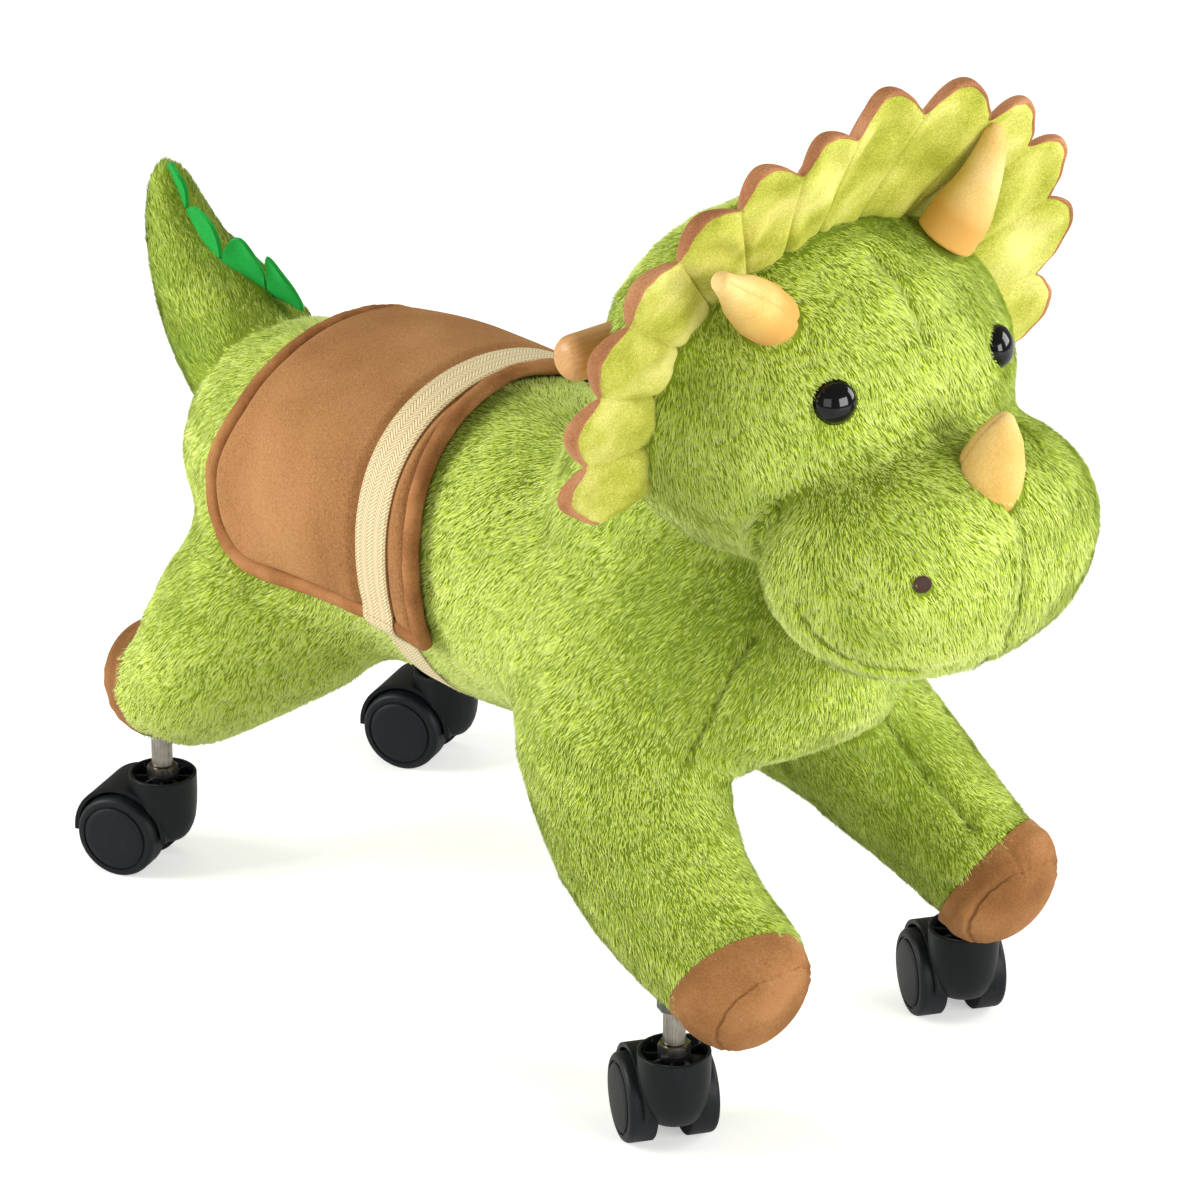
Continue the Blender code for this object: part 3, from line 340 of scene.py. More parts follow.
@dataclass(frozen=True)
class Oak(Finish):
    """Oiled oak: rings round an axis beside the stick, pores along it."""

    def build(self, graph: Graph) -> Material:
        """Growth rings, pores and a thin coat of oil."""
        at = graph.place((0.06, 1.0, 1.0))
        wander = graph.grain(at, 16.0, 3.0)
        ring = graph.add("ShaderNodeTexWave", {"wave_type": "BANDS", "bands_direction": "DIAGONAL"},
                         {"Vector": graph.place((0.03, 1.0, 1.0)), "Scale": 150.0,
                          "Distortion": 9.0, "Detail": 3.0, "Detail Scale": 1.2})
        pores = graph.grain(graph.place((0.02, 1.0, 1.0)), 1300.0, 2.0, 0.8)
        tone = graph.ramp(ring * 0.18 + wander * 0.82, (0.2, shown(186, 132, 72)), (0.5, shown(202, 150, 88)),
                          (0.8, shown(214, 166, 102)))
        dark = graph.mix(pores.step(0.60, 0.74) * 0.6, tone, shown(160, 108, 56))
        return graph.finish(Base_Color=dark, Roughness=0.42 + pores * 0.15, Coat_Weight=0.25,
                            Coat_Roughness=0.3, Normal=graph.bump(1.0 - pores.step(0.6, 0.75), 0.1 * MM))


@dataclass(frozen=True)
class Metal(Finish):
    """Bare or plated metal with streaks along Z."""

    colour: Colour = (0.60, 0.57, 0.52)
    dull: Colour = (0.34, 0.32, 0.30)
    rough: float = 0.26

    def build(self, graph: Graph) -> Material:
        """Drawn streaks, light and dark."""
        streak = graph.grain(graph.place((1.0, 1.0, 0.05)), 900.0, 3.0, 0.7)
        stain = graph.grain(graph.place(), 160.0, 3.0)
        tone = graph.ramp(streak * 0.6 + stain * 0.4, (0.35, self.dull), (0.6, self.colour))
        return graph.finish(Base_Color=tone, Metallic=1.0, Roughness=self.rough + stain * 0.2,
                            Normal=graph.bump(streak, 0.05 * MM))


@dataclass(frozen=True)
class Moulded(Finish):
    """Black moulded plastic with a fine spark-eroded grain and light scuffs."""

    colour: Colour = (0.0045, 0.0062, 0.0078)
    rough: float = 0.42

    def build(self, graph: Graph) -> Material:
        """A faint grain, and scuffs that are duller."""
        at = graph.place()
        grain = graph.grain(at, 2200.0, 2.0)
        scuff = graph.grain(graph.place((1.0, 1.0, 0.3)), 140.0, 5.0, 0.7).step(0.56, 0.72)
        tone = graph.mix(scuff * 0.5, self.colour, tuple(c * 2.0 + 0.003 for c in self.colour))
        return graph.finish(Base_Color=tone, Roughness=self.rough + scuff * 0.16, Specular_IOR_Level=0.20,
                            Normal=graph.bump(grain, 0.04 * MM, 0.7))


@dataclass(frozen=True)
class Glossy(Finish):
    """Polished black eye plastic."""

    def build(self, graph: Graph) -> Material:
        """Near black with a clear hard shine and the faintest dust."""
        dust = graph.grain(graph.place(), 700.0, 2.0)
        tone = graph.mix(dust.step(0.66, 0.8), (0.003, 0.003, 0.005), (0.012, 0.013, 0.018))
        return graph.finish(Base_Color=tone, Roughness=0.05 + dust * 0.03, Specular_IOR_Level=0.35)


class Finishes:
    """Every finish that the toy is made in."""

    PILE = Pile("pile_green", "plush_green")
    BACKING = Backing("pile_backing", "plush_green")
    LIME = Velvet("velvet_lime", "frill_velvet")
    BROWN = Velvet("velvet_brown", "frill_brown_velvet", shown(172, 118, 80), shown(194, 142, 104),
                   shown(142, 92, 60), 0.4)
    HOOF = Velvet("velvet_caramel", "hoof_velvet", shown(146, 99, 57), shown(166, 119, 76),
                  shown(120, 79, 42), 0.25)
    CREAM = Velvet("velvet_cream", "horn_velvet", shown(224, 186, 112), shown(234, 203, 142),
                   shown(210, 168, 90), 0.15, foot=shown(210, 158, 86))
    SUEDE = Velvet("suede_tan", "saddle_suede", shown(163, 115, 70), shown(182, 134, 88),
                   shown(136, 90, 52), 0.2, (1.0, 1.0, 0.6), 15.0, 0.46)
    BINDING = Velvet("suede_binding", "saddle_piping", shown(160, 108, 64), shown(178, 126, 80),
                     shown(134, 86, 48), 0.25, (1.0, 1.0, 1.0), 40.0, 0.34)
    WEBBING = Webbing("tape_herringbone", "girth_webbing")
    TAN_THREAD = Thread("thread_tan", "girth_webbing", shown(188, 144, 84))
    BROWN_THREAD = Thread("thread_brown", "saddle_piping", shown(96, 58, 34))
    CREAM_THREAD = Thread("thread_cream", "horn_velvet", shown(222, 186, 120))
    NOSE_THREAD = Thread("thread_nose", "frill_brown_velvet", shown(66, 34, 22))
    FELT = Felt("felt_pressed", "felt_green")
    OAK = Oak("oak_oiled", "handle_oak")
    ZINC = Metal("zinc_plate", "stem_zinc", (0.40, 0.37, 0.33), (0.20, 0.185, 0.165), 0.20)
    STEEL = Metal("steel_tube", "frame_steel", (0.16, 0.16, 0.165), (0.10, 0.10, 0.105), 0.4)
    HOUSING = Moulded("plastic_housing", "caster_plastic")
    WHEEL = Moulded("plastic_wheel", "wheel_plastic", (0.008, 0.009, 0.012), 0.46)
    EYE = Glossy("plastic_eye", "eye_plastic")


# Tools that the classes share

def linked(name: str, data: bpy.types.ID) -> Piece:
    """A new object of the scene that shows this data."""
    piece = bpy.data.objects.new(name, data)
    bpy.context.collection.objects.link(piece)
    return piece


def only(piece: Piece) -> Piece:
    """Selects this piece and nothing else."""
    for other in bpy.context.selected_objects:
        other.select_set(False)
    piece.select_set(True)
    bpy.context.view_layer.objects.active = piece
    return piece


@contextmanager
def editing(piece: Piece, action: str = "SELECT") -> Iterator[None]:
    """Edit mode on this piece alone, with all of it selected or deselected."""
    only(piece)
    bpy.ops.object.mode_set(mode="EDIT")
    bpy.ops.mesh.select_all(action=action)
    yield
    bpy.ops.object.mode_set(mode="OBJECT")


def points_of(piece: Piece) -> Points:
    """The piece's vertices as rows of x, y, z."""
    rows = np.empty(len(piece.data.vertices) * 3)
    piece.data.vertices.foreach_get("co", rows)
    return rows.reshape(-1, 3)


def normals_of(piece: Piece) -> Points:
    """The normal at each vertex."""
    rows = np.empty(len(piece.data.vertices) * 3)
    piece.data.vertex_normals.foreach_get("vector", rows)
    return rows.reshape(-1, 3)


def put_points(piece: Piece, rows: Points) -> None:
    """Moves the piece's vertices."""
    piece.data.vertices.foreach_set("co", np.ascontiguousarray(rows, dtype=np.float32).ravel())
    piece.data.update()


def modify(piece: Piece, kind: str, **settings: object) -> None:
    """Adds a modifier with these settings and applies it."""
    only(piece)
    step = piece.modifiers.new(kind.lower(), kind)
    for key, value in settings.items():
        setattr(step, key, value)
    bpy.ops.object.modifier_apply(modifier=step.name)


def weld(piece: Piece, reach: float = 0.02 * MM) -> Piece:
    """Merges points that meet and turns the faces outward."""
    with editing(piece):
        bpy.ops.mesh.remove_doubles(threshold=reach)
        bpy.ops.mesh.dissolve_degenerate(threshold=reach)
        bpy.ops.mesh.normals_make_consistent(inside=False)
    return piece


def smooth(piece: Piece, angle: float = 180.0) -> Piece:
    """Shades the piece smooth, with edges sharper than the angle left crisp."""
    only(piece)
    bpy.ops.object.shade_smooth_by_angle(angle=radians(angle))
    return piece


def grid(name: str, columns: int, rows: int, place: Surface) -> Piece:
    """A grid primitive whose vertices are moved.

    Args:
        name: The piece's name.
        columns: Faces along u.
        rows: Faces along v.
        place: Turns u and v, each from 0 to 1, into points.

    Returns:
        The piece.
    """
    bpy.ops.mesh.primitive_grid_add(x_subdivisions=columns, y_subdivisions=rows, size=2.0)
    piece = only(bpy.context.active_object)
    piece.name = piece.data.name = name
    flat = points_of(piece)
    put_points(piece, place((flat[:, 0] + 1) / 2, (flat[:, 1] + 1) / 2))
    return piece


def join(name: str, *pieces: Piece) -> Piece:
    """One piece out of several, named anew."""
    whole = only(pieces[0])
    for piece in pieces[1:]:
        piece.select_set(True)
    if len(pieces) > 1:
        bpy.ops.object.join()
    whole.name = whole.data.name = name
    return whole


def lathe(name: str, profile: Sequence[Pair], place: Matrix,
          steps: int = 64) -> Piece:
    """Spins (radius, height) points about Z and sets the result in its place.

    Args:
        name: The piece's name.
        profile: Points from one end of the axis to the other, or round a closed section.
        place: Where the axis stands.
        steps: Faces round the axis.

    Returns:
        The piece.
    """
    closed = profile[0][0] > SMALL
    count = len(profile)
    mesh = bpy.data.meshes.new(name)
    edges = [(i, i + 1) for i in range(count - 1)] + ([(count - 1, 0)] if closed else [])
    mesh.from_pydata([(r, 0.0, h) for r, h in profile], edges, [])
    piece = linked(name, mesh)
    with editing(piece):
        bpy.ops.mesh.spin(steps=steps, angle=tau, center=(0, 0, 0), axis=(0, 0, 1))
    mesh.transform(place)
    return weld(piece, 0.01 * MM)


def block(name: str, low: Sequence[float], high: Sequence[float]) -> Piece:
    """A cube primitive between two corners, for cutting."""
    bpy.ops.mesh.primitive_cube_add(size=1.0)
    piece = only(bpy.context.active_object)
    piece.name = piece.data.name = name
    put_points(piece, np.array(low) + (points_of(piece) + 0.5) * (np.array(high) - np.array(low)))
    return piece


def cut(piece: Piece, tool: Piece, mode: str = "DIFFERENCE") -> Piece:
    """Booleans a tool with the piece and throws the tool away."""
    modify(piece, "BOOLEAN", operation=mode, solver="EXACT", object=tool)
    bpy.data.objects.remove(tool, do_unlink=True)
    return piece


def moved(piece: Piece, name: str, place: Matrix) -> Piece:
    """A copy of a piece with its own mesh, set in another place."""
    mesh = piece.data.copy()
    mesh.name = name
    mesh.transform(place)
    return linked(name, mesh)


def raw_piece(name: str, verts: Points, faces: Values) -> Piece:
    """A piece from arrays of points and of faces that all have as many corners."""
    mesh = bpy.data.meshes.new(name)
    sides = faces.shape[1]
    mesh.vertices.add(len(verts))
    mesh.vertices.foreach_set("co", verts.astype(np.float32).ravel())
    mesh.loops.add(faces.size)
    mesh.loops.foreach_set("vertex_index", faces.astype(np.int32).ravel())
    mesh.polygons.add(len(faces))
    mesh.polygons.foreach_set("loop_start", np.arange(0, faces.size, sides, dtype=np.int32))
    mesh.update(calc_edges=True)
    return linked(name, mesh)


def unit(rows: Points) -> Points:
    """Each row scaled to length 1."""
    return rows / np.maximum(np.linalg.norm(rows, axis=1, keepdims=True), SMALL)


def clamp(values: Values) -> Values:
    """The values, from 0 to 1."""
    return np.clip(values, 0, 1)


def bell(gap: Values, width: float) -> Values:
    """1 where the gap is 0, falling towards 0 past the width."""
    return np.exp(-(gap / width) ** 2)


def ease(share: Values) -> Values:
    """0 up to 0, 1 from 1 on, smooth between."""
    t = clamp(share)
    return t * t * (3 - 2 * t)


def ripple(at: Points, size: float, seed: int) -> Values:
    """Smooth noise from about -1 to 1 with waves of about `size`."""
    rng = np.random.default_rng(seed)
    total = np.zeros(len(at))
    for _ in range(9):
        way = unit(rng.normal(size=(1, 3)))[0] * tau / (size * rng.uniform(0.7, 1.6))
        total += np.sin(at @ way + rng.uniform(0, tau))
    return total / 3.2


def tree_of(piece: Piece) -> tuple[BVHTree, Points]:
    """A search tree of a piece's faces, and the corners of its box."""
    mesh, at = piece.data, points_of(piece)
    tree = BVHTree.FromPolygons(at.tolist(), [tuple(p.vertices) for p in mesh.polygons])
    return tree, np.array([at.min(axis=0), at.max(axis=0)])


def how_near(at: Points, trees: Sequence[tuple[BVHTree, Points]], most: float) -> Values:
    """Distance of each point to the nearest of several pieces, at most `most`."""
    near = np.full(len(at), most)
    for tree, box in trees:
        for i in np.flatnonzero(((at > box[0] - most) & (at < box[1] + most)).all(axis=1)):
            hit = tree.find_nearest(at[i], near[i])
            if hit[0] is not None:
                near[i] = hit[3]
    return near


def to_line(at: Points, line: Points) -> tuple[Values, Points]:
    """Distance of each point to a run of points, and the nearest place on it."""
    best = np.full(len(at), 1e3)
    foot = np.zeros_like(at)
    for a, b in zip(line, line[1:]):
        run = b - a
        t = clamp(((at - a) @ run) / max(run @ run, SMALL))
        place = a + t[:, None] * run
        gap = np.linalg.norm(at - place, axis=1)
        closer = gap < best
        best[closer], foot[closer] = gap[closer], place[closer]
    return best, foot


def along(route: Points, pitch: float) -> tuple[Points, Points]:
    """Evenly spaced points along a route, and the direction at each."""
    step = np.linalg.norm(np.diff(route, axis=0), axis=1)
    reach = np.concatenate([[0], np.cumsum(step)])
    marks = np.arange(pitch / 2, reach[-1], pitch)
    at = np.stack([np.interp(marks, reach, route[:, k]) for k in range(3)], axis=1)
    ahead = np.stack([np.interp(marks + pitch / 4, reach, route[:, k]) for k in range(3)], axis=1)
    return at, unit(ahead - at)


def stitches(name: str, at: Points, way: Points, up: Points, length: float, radius: float,
             finish: Finish) -> Piece:
    """Rows of thread: one short rounded stitch, modelled once and copied to every place.

    Args:
        name: The piece's name.
        at: Middle of each stitch.
        way: Direction of each stitch.
        up: Outward direction of the cloth at each stitch.
        length: Length of a stitch.
        radius: Half the thickness of the thread.
        finish: The thread.

    Returns:
        The piece.
    """
    bpy.ops.mesh.primitive_uv_sphere_add(segments=6, ring_count=5, radius=1.0)
    mark = only(bpy.context.active_object)
    modify(mark, "TRIANGULATE")
    shape = points_of(mark)
    faces = np.array([tuple(p.vertices) for p in mark.data.polygons])
    bpy.data.objects.remove(mark, do_unlink=True)
    side = unit(np.cross(up, way))
    lift = unit(np.cross(way, side))
    arch = 1.0 - shape[:, 2] ** 2
    verts = (at[:, None] + way[:, None] * (shape[:, 2] * length / 2)[None, :, None]
             + side[:, None] * (shape[:, 0] * radius)[None, :, None]
             + lift[:, None] * ((shape[:, 1] + 0.5 * arch - 0.5) * radius)[None, :, None])
    whole = (faces[None] + (np.arange(len(at)) * len(shape))[:, None, None]).reshape(-1, 3)
    piece = raw_piece(name, verts.reshape(-1, 3), whole)
    smooth(piece)
    finish.dress(piece)
    return piece


def show(piece: Piece, finish: Finish, *nodes: str, body: str = BODY,
         fill: float | None = None) -> Piece:
    """Dresses a finished piece, hangs it on its body and hides the CAD nodes it stands for."""
    finish.dress(piece)
    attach(piece, body)
    if nodes:
        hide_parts(*nodes)
    LOG.info("%s: %d faces on %s", piece.name, len(piece.data.polygons), body)
    return piece


# Corners and hooves

class Corner(Enum):
    """Where a caster stands: side of the toy, front or rear, and how it is turned."""

    front_left = (1, -1, radians(-26.0))
    front_right = (-1, -1, radians(-26.0))
    rear_left = (1, 1, radians(25.0))
    rear_right = (-1, 1, radians(25.0))

    @property
    def stem(self) -> Vector:
        """Where the caster's stem meets the floor."""
        side, end, _ = self.value
        return Vector((side * 108.5 * MM, end * 225.0 * MM + BODY_Y, 0))

    @property
    def place(self) -> Matrix:
        """The caster's place, turned as it stands."""
        return Matrix.Translation(self.stem) @ Matrix.Rotation(self.value[2], 4, "Z")


@dataclass
class Hooves:
    """Four stuffed velvet caps, each with a seam round its sole and a dart on top."""

    # Start inside the leg, its axis, the way the cuff faces, radius, and from the start to the cuff, in mm.
    FRONT = ((92.6, -245.9, 113.9), (0.0, -0.982, -0.189), (0.20, -0.84, -0.50), 39.3, 10.5)
    REAR = ((90.7, 239.1, 113.2), (0.0, 0.963, -0.270), (0.0, 0.955, -0.295), 37.4, 10.0)
    length: float = 38.5 * MM
    blunt: float = 2.7             # power of the rounded end
    sole: float = 0.74             # where the sole seam runs at the sides, as a share of the length
    slant: float = 0.17            # how much further out it runs on top
    seam: Pair = (2.3 * MM, 1.1 * MM)       # depth and half width
    pucker: Pair = (1.0 * MM, 4.5 * MM)     # height of the puckers and their reach
    dart: Pair = (1.2 * MM, 1.2 * MM)       # depth and half width
    dart_run: float = 21.0 * MM    # how far the dart runs down from the cuff
    dart_turn: float = 0.10        # how far it stands to the side of the top, in half turns
    hidden: float = 0.14           # share of v that closes the cap inside the leg
    cuff: float = 5.0 * MM         # how deep the cap goes under the pile
    tuck: float = 1.8 * MM         # how much narrower it is there

    @classmethod
    def cuffs(cls) -> tuple[tuple[Triple, Triple], ...]:
        """Where the pile of each leg ends: a place and the way out of the leg."""
        rows = []
        for (x, y, z), run, way, _, on in (cls.FRONT, cls.REAR):
            for side in (-1, 1):
                rows.append(((side * x, y + run[1] * on, z + run[2] * on), (side * way[0], way[1], way[2])))
        return tuple(rows)

    def cap(self, corner: "Corner") -> Surface:
        """The velvet cap of one leg as a function of u (round) and v (from inside the leg to the tip)."""
        side, end, _ = corner.value
        (x, y, z), run, way, radius, on = self.FRONT if end < 0 else self.REAR
        start, axis, radius = np.array([side * x, y, z]) * MM, np.array(run), radius * MM
        way, reach = unit(np.array([way]) * (side, 1, 1))[0], axis * on * MM
        across = np.array([1.0, 0, 0])
        rise = np.cross(axis, across)
        rise *= np.sign(rise[2])

        def place(u: Points, v: Points) -> Points:
            """A point of the cap."""
            angle = tau * u
            spoke = np.outer(np.cos(angle), across) + np.outer(np.sin(angle), rise)
            t0 = (reach @ way - self.cuff - (radius - self.tuck) * (spoke @ way)) / (axis @ way)
            out = clamp((v - self.hidden) / (1 - self.hidden))
            t = t0 + (self.length - t0) * (1 - (1 - out) ** 1.5)
            share = clamp(t / self.length)
            r = radius - self.tuck * bell(np.maximum(t - t0 - self.cuff, 0), self.cuff)
            r = r * (1 - share ** self.blunt) ** (1 / self.blunt) + 0.4 * MM * clamp(share * 3)
            gap = (share - self.sole - self.slant * np.sin(angle)) * self.length
            wave = 0.5 * np.sin(23 * angle + 2 * np.sin(3 * angle)) + 0.5 * np.sin(9 * angle + 1.0)
            r = r - self.seam[0] * bell(gap, self.seam[1]) + self.pucker[0] * wave * bell(gap, self.pucker[1])
            off = np.abs((angle - pi * (0.5 + self.dart_turn * side) + pi) % tau - pi) * radius
            dart = clamp((t0 + self.dart_run - t) / (3 * MM))
            r = r - self.dart[0] * dart * bell(off, self.dart[1])
            r = np.maximum(r, 0) * clamp(v / self.hidden) * np.where(v > 0.9999, 0, 1)
            return start + np.outer(t, axis) + r[:, None] * spoke

        return place

    def build(self) -> None:
        """Makes each cap."""
        for corner in Corner:
            node, place = f"hoof_{corner.name}", self.cap(corner)
            piece = weld(grid(f"{node}_velvet", 120, 90, place), 0.05 * MM)
            show(smooth(piece), Finishes.HOOF, node, fill=0.9)


# The stuffed plush

@dataclass
class Coat:
    """How the tufts stand on one plush part."""

    nap: Combing
    length: float = 6.2 * MM
    width: float = 0.46 * MM       # half width at the root
    density: float = 1.03e6        # tufts per square metre
    lay: float = radians(21.0)     # angle of the tufts above the skin
    swirl: float = 0.26
    base_tone: float = 0.62        # tint of a plain tuft, where 0 is dark and 1 is light
    mottle: float = 0.26           # how much the tint differs from tuft to tuft
    parting: float = 0.6           # painted shade: how much darker the pile's tint is where a seam or fold parts it
    last_nap: Combing | None = None     # nap of the part's last node
    last_tone: float = 0.0         # added to the tint there
    split: int = 3                 # pieces that share the tufts
    brushed: tuple[tuple[float, float, float, float, float], ...] = ()   # painted shade patches with a darker tint: place, size, tone


def neighbours(piece: Piece) -> tuple[Values, Values, Values]:
    """Both ends of each edge, and how many edges meet at each vertex."""
    edges = np.empty(len(piece.data.edges) * 2, dtype=np.int32)
    piece.data.edges.foreach_get("vertices", edges)
    a, b = edges.reshape(-1, 2).T
    return a, b, np.maximum(np.bincount(edges, minlength=len(piece.data.vertices)), 1)


def relax(piece: Piece, weight: Values, rounds: int) -> None:
    """Evens out a mesh where it is told to.

    Args:
        piece: The mesh.
        weight: How much each vertex gives, from 0 to 1.
        rounds: How often.
    """
    at = points_of(piece)
    a, b, count = neighbours(piece)
    for _ in range(rounds):
        total = np.stack([np.bincount(a, at[b, k], len(at)) + np.bincount(b, at[a, k], len(at))
                          for k in range(3)], axis=1)
        at += 0.5 * weight[:, None] * (total / count[:, None] - at)
    put_points(piece, at)


def even_out(piece: Piece, values: Values, rounds: int) -> Values:
    """A number at each vertex, averaged with its neighbours."""
    a, b, count = neighbours(piece)
    for _ in range(rounds):
        total = np.bincount(a, values[b], len(values)) + np.bincount(b, values[a], len(values))
        values = 0.5 * values + 0.5 * total / count
    return values


@dataclass
class Plush:
    """One sewn and stuffed plush part: a skin drawn in at its seams, and its pile."""

    QUICK = 0.35
    CLEAR_PLUSH, CLEAR_OVER = 0.8 * MM, 1.5 * MM           # no tuft grows nearer to another part
    CLEAR_HARD, CLEAR_CUFF = 0.9 * MM, 0.6 * MM
    name: str
    nodes: tuple[str, ...]
    coat: Coat
    seams: tuple[Seam, ...] = ()
    voxel: float = 3.4 * MM
    inset: float = 2.5 * MM
    crease: float = 2.2 * MM
    fillet: float = 15.0 * MM
    rounds: int = 70
    fold_depth: float = 8.0 * MM
    seam: Pair = (6.0 * MM, 2.3 * MM)       # depth and half width of a seam
    hoof_room: float = 3.5 * MM    # how far the skin draws in under a hoof
    under: tuple[str, ...] = ()    # nodes that the skin runs on beneath, such as the hooves
    cuffs: tuple[tuple[Triple, Triple], ...] = ()
    seed: int = 1
    fill: float = 0.75

    def make_skin(self) -> Piece:
        """The CAD solids as one even mesh, with the joins between them filled in."""
        copies = []
        for node in self.nodes + self.under:
            copy = weld(moved(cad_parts[node], node + "_copy", Matrix.Identity(4)), 0.005 * MM)
            put_points(copy, points_of(copy) + normals_of(copy) * 0.4 * MM)
            copies.append(copy)
        self.skin = piece = join("skin_" + self.name, *copies)
        modify(piece, "REMESH", mode="VOXEL", voxel_size=self.voxel)
        relax(piece, np.ones(len(piece.data.vertices)), 8)
        at = points_of(piece)
        near = np.stack([how_near(at, [tree_of(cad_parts[n])], 40 * MM) for n in self.nodes])
        second = np.sort(near, axis=0)[1]
        rank = np.argsort(near, axis=0)[1]
        self.away = np.zeros_like(at)
        for number, node in enumerate(self.nodes):
            tree = tree_of(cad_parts[node])[0]
            for i in np.flatnonzero((rank == number) & (second < 14 * MM)):
                self.away[i] = at[i] - np.array(tree.find_nearest(at[i])[0])
        self.last = clamp(0.5 + (near[:-1].min(axis=0) - near[-1]) / (10 * MM))
        give = self.give(at)
        relax(piece, bell(second, self.fillet) * give, self.rounds)
        self.fold = self.fold_depth * bell(second, 4.5 * MM) * (1 - give)
        self.away = unit(self.away) * (bell(second, 7.0 * MM) * (1 - give))[:, None]
        put_points(piece, self.fuller(points_of(piece)))
        return smooth(piece)

    def give(self, at: Points) -> Values:
        """How far the joins are filled in, from 0 to 1."""
        return np.ones(len(at))

    def fuller(self, at: Points) -> Points:
        """Where the stuffing pushes the skin out."""
        return at

    def beyond(self, at: Points) -> Values:
        """How far each point lies past the cuff of a hoof; negative on the leg."""
        past = np.full(len(at), -1.0)
        for place, way in self.cuffs:
            gap = at - np.array(place) * MM
            near = np.linalg.norm(gap, axis=1) < 70 * MM
            past[near] = np.maximum(past[near], (gap @ unit(np.array([way]))[0])[near])
        return past

    def draw_in(self, over: Sequence[Piece]) -> None:
        """Makes room for the pile and draws the skin in where parts and panels meet.

        Args:
            over: Finished pieces that lie on the pile, such as the saddle.
        """
        piece = self.skin
        at, out = points_of(piece), normals_of(piece)
        hard = ("eye", "felt", "handle")
        nodes = {n: o for n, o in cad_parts.items() if n not in self.nodes + self.under}
        plush = [tree_of(o) for n, o in nodes.items() if n.startswith(("plush", "hoof"))]
        rest = [tree_of(o) for n, o in nodes.items() if n.startswith(hard)]
        self.near_plush = how_near(at, plush, 24.0 * MM)
        self.near_over = how_near(at, [tree_of(o) for o in over], 12.0 * MM)
        self.near_rest = how_near(at, rest, 12.0 * MM)
        touch = np.minimum(self.near_plush, np.minimum(self.near_rest, self.near_over))
        depth = self.inset + self.crease * bell(self.near_plush, 8.0 * MM)
        depth[touch < 1.0 * MM] *= 0.3
        depth = even_out(piece, depth, 3) + self.fold
        depth += self.hoof_room * clamp(self.beyond(at) / (5 * MM) + 0.2)
        self.lines = []
        tree = tree_of(piece)
        for seam in self.seams:
            rows = along(np.array(seam) * MM, 4.0 * MM)[0]
            line = np.array([tree[0].find_nearest(row)[0] for row in rows])
            self.lines.append(line)
            gap, _ = to_line(at, line)
            depth += self.seam[0] * bell(gap, self.seam[1])
        put_points(piece, at - out * depth[:, None])
        show(piece, Finishes.BACKING, *self.nodes, fill=self.fill)

    def scattered(self, rng: np.random.Generator) -> tuple[Values, Values]:
        """Spreads tufts evenly over the skin.

        Args:
            rng: Where the chance comes from.

        Returns:
            For each tuft the three vertices round it, and the weight of each.
        """
        mesh = self.skin.data
        mesh.calc_loop_triangles()
        corners = np.empty(len(mesh.loop_triangles) * 3, dtype=np.int32)
        mesh.loop_triangles.foreach_get("vertices", corners)
        corners = corners.reshape(-1, 3)
        tri = points_of(self.skin)[corners]
        area = np.linalg.norm(np.cross(tri[:, 1] - tri[:, 0], tri[:, 2] - tri[:, 0]), axis=1) / 2
        count = int(area.sum() * self.coat.density * (1.0))
        pick = rng.choice(len(corners), count, p=area / area.sum())
        return corners[pick], rng.dirichlet((1, 1, 1), count)

    def tufts(self) -> None:
        """The pile: many thousands of pointed tufts that lie along the nap."""
        rng, coat = np.random.default_rng(self.seed), self.coat
        at, out = points_of(self.skin), normals_of(self.skin)
        hold, share = self.scattered(rng)

        def here(values: Values) -> Values:
            """Values of the vertices, at the tufts."""
            rows = values[hold]
            return (rows * (share if rows.ndim == 2 else share[..., None])).sum(axis=1)

        def wave(size: float, number: int) -> Values:
            """Smooth noise at the tufts, with waves of `size` millimetres."""
            return ripple(base, size * MM, self.seed + number)

        keep = (here(self.near_plush) > self.CLEAR_PLUSH) & (here(self.near_over) > self.CLEAR_OVER)
        keep &= (here(self.near_rest) > self.CLEAR_HARD) & (self.beyond(here(at)) < -self.CLEAR_CUFF)
        hold, share = hold[keep], share[keep]
        count, base, up = len(hold), here(at), unit(here(out))
        plush, rest, last, away = (here(f) for f in (self.near_plush, self.near_rest, self.last, self.away))

        # Nap: along the part, away from seams and folds, with swirls
        nap, short, painted_crease_share = unit(coat.nap(base)), np.ones(count), np.zeros(count)
        if coat.last_nap:
            nap = unit(nap * (1 - last)[:, None] + unit(coat.last_nap(base)) * last[:, None])
        for line in self.lines:
            gap, foot = to_line(base, line)
            nap = nap + unit(base - foot) * (1.3 * bell(gap, 3.4 * MM))[:, None]
            short = np.minimum(short, 1.0 - 0.62 * bell(gap, 1.9 * MM))
            # Painted shade: tufts along a seam get a darker tint.
            painted_crease_share = np.maximum(painted_crease_share, 1.3 * bell(gap, 1.6 * MM))
        short = np.minimum(short, 0.35 + 0.65 * clamp(rest / (6 * MM)))
        nap = nap + 1.6 * away
        close = np.linalg.norm(away, axis=1) ** 2
        # Painted shade: tufts close to a fold get a darker tint.
        short, painted_crease_share = np.minimum(short, 1 - 0.4 * close), np.maximum(painted_crease_share, 0.8 * close ** 2)
        flat = unit(nap - up * (nap * up).sum(axis=1, keepdims=True))
        side = np.cross(up, flat)
        turn = coat.swirl * (0.8 * wave(26, 11) + 0.4 * wave(9, 12) + 0.35 * wave(3.6, 17))
        turn = turn + rng.normal(0, 0.11, count)
        flat, side = (flat * np.cos(turn)[:, None] + side * np.sin(turn)[:, None],
                      side * np.cos(turn)[:, None] - flat * np.sin(turn)[:, None])
        lift = 0.30 * bell(np.minimum(rest, plush), 5.0 * MM)
        rise = np.clip(coat.lay * (1 + 0.15 * wave(12, 13) + 0.06 * wave(4, 18))
                       + rng.normal(0, 0.05, count) + lift, 0.10, 1.2)
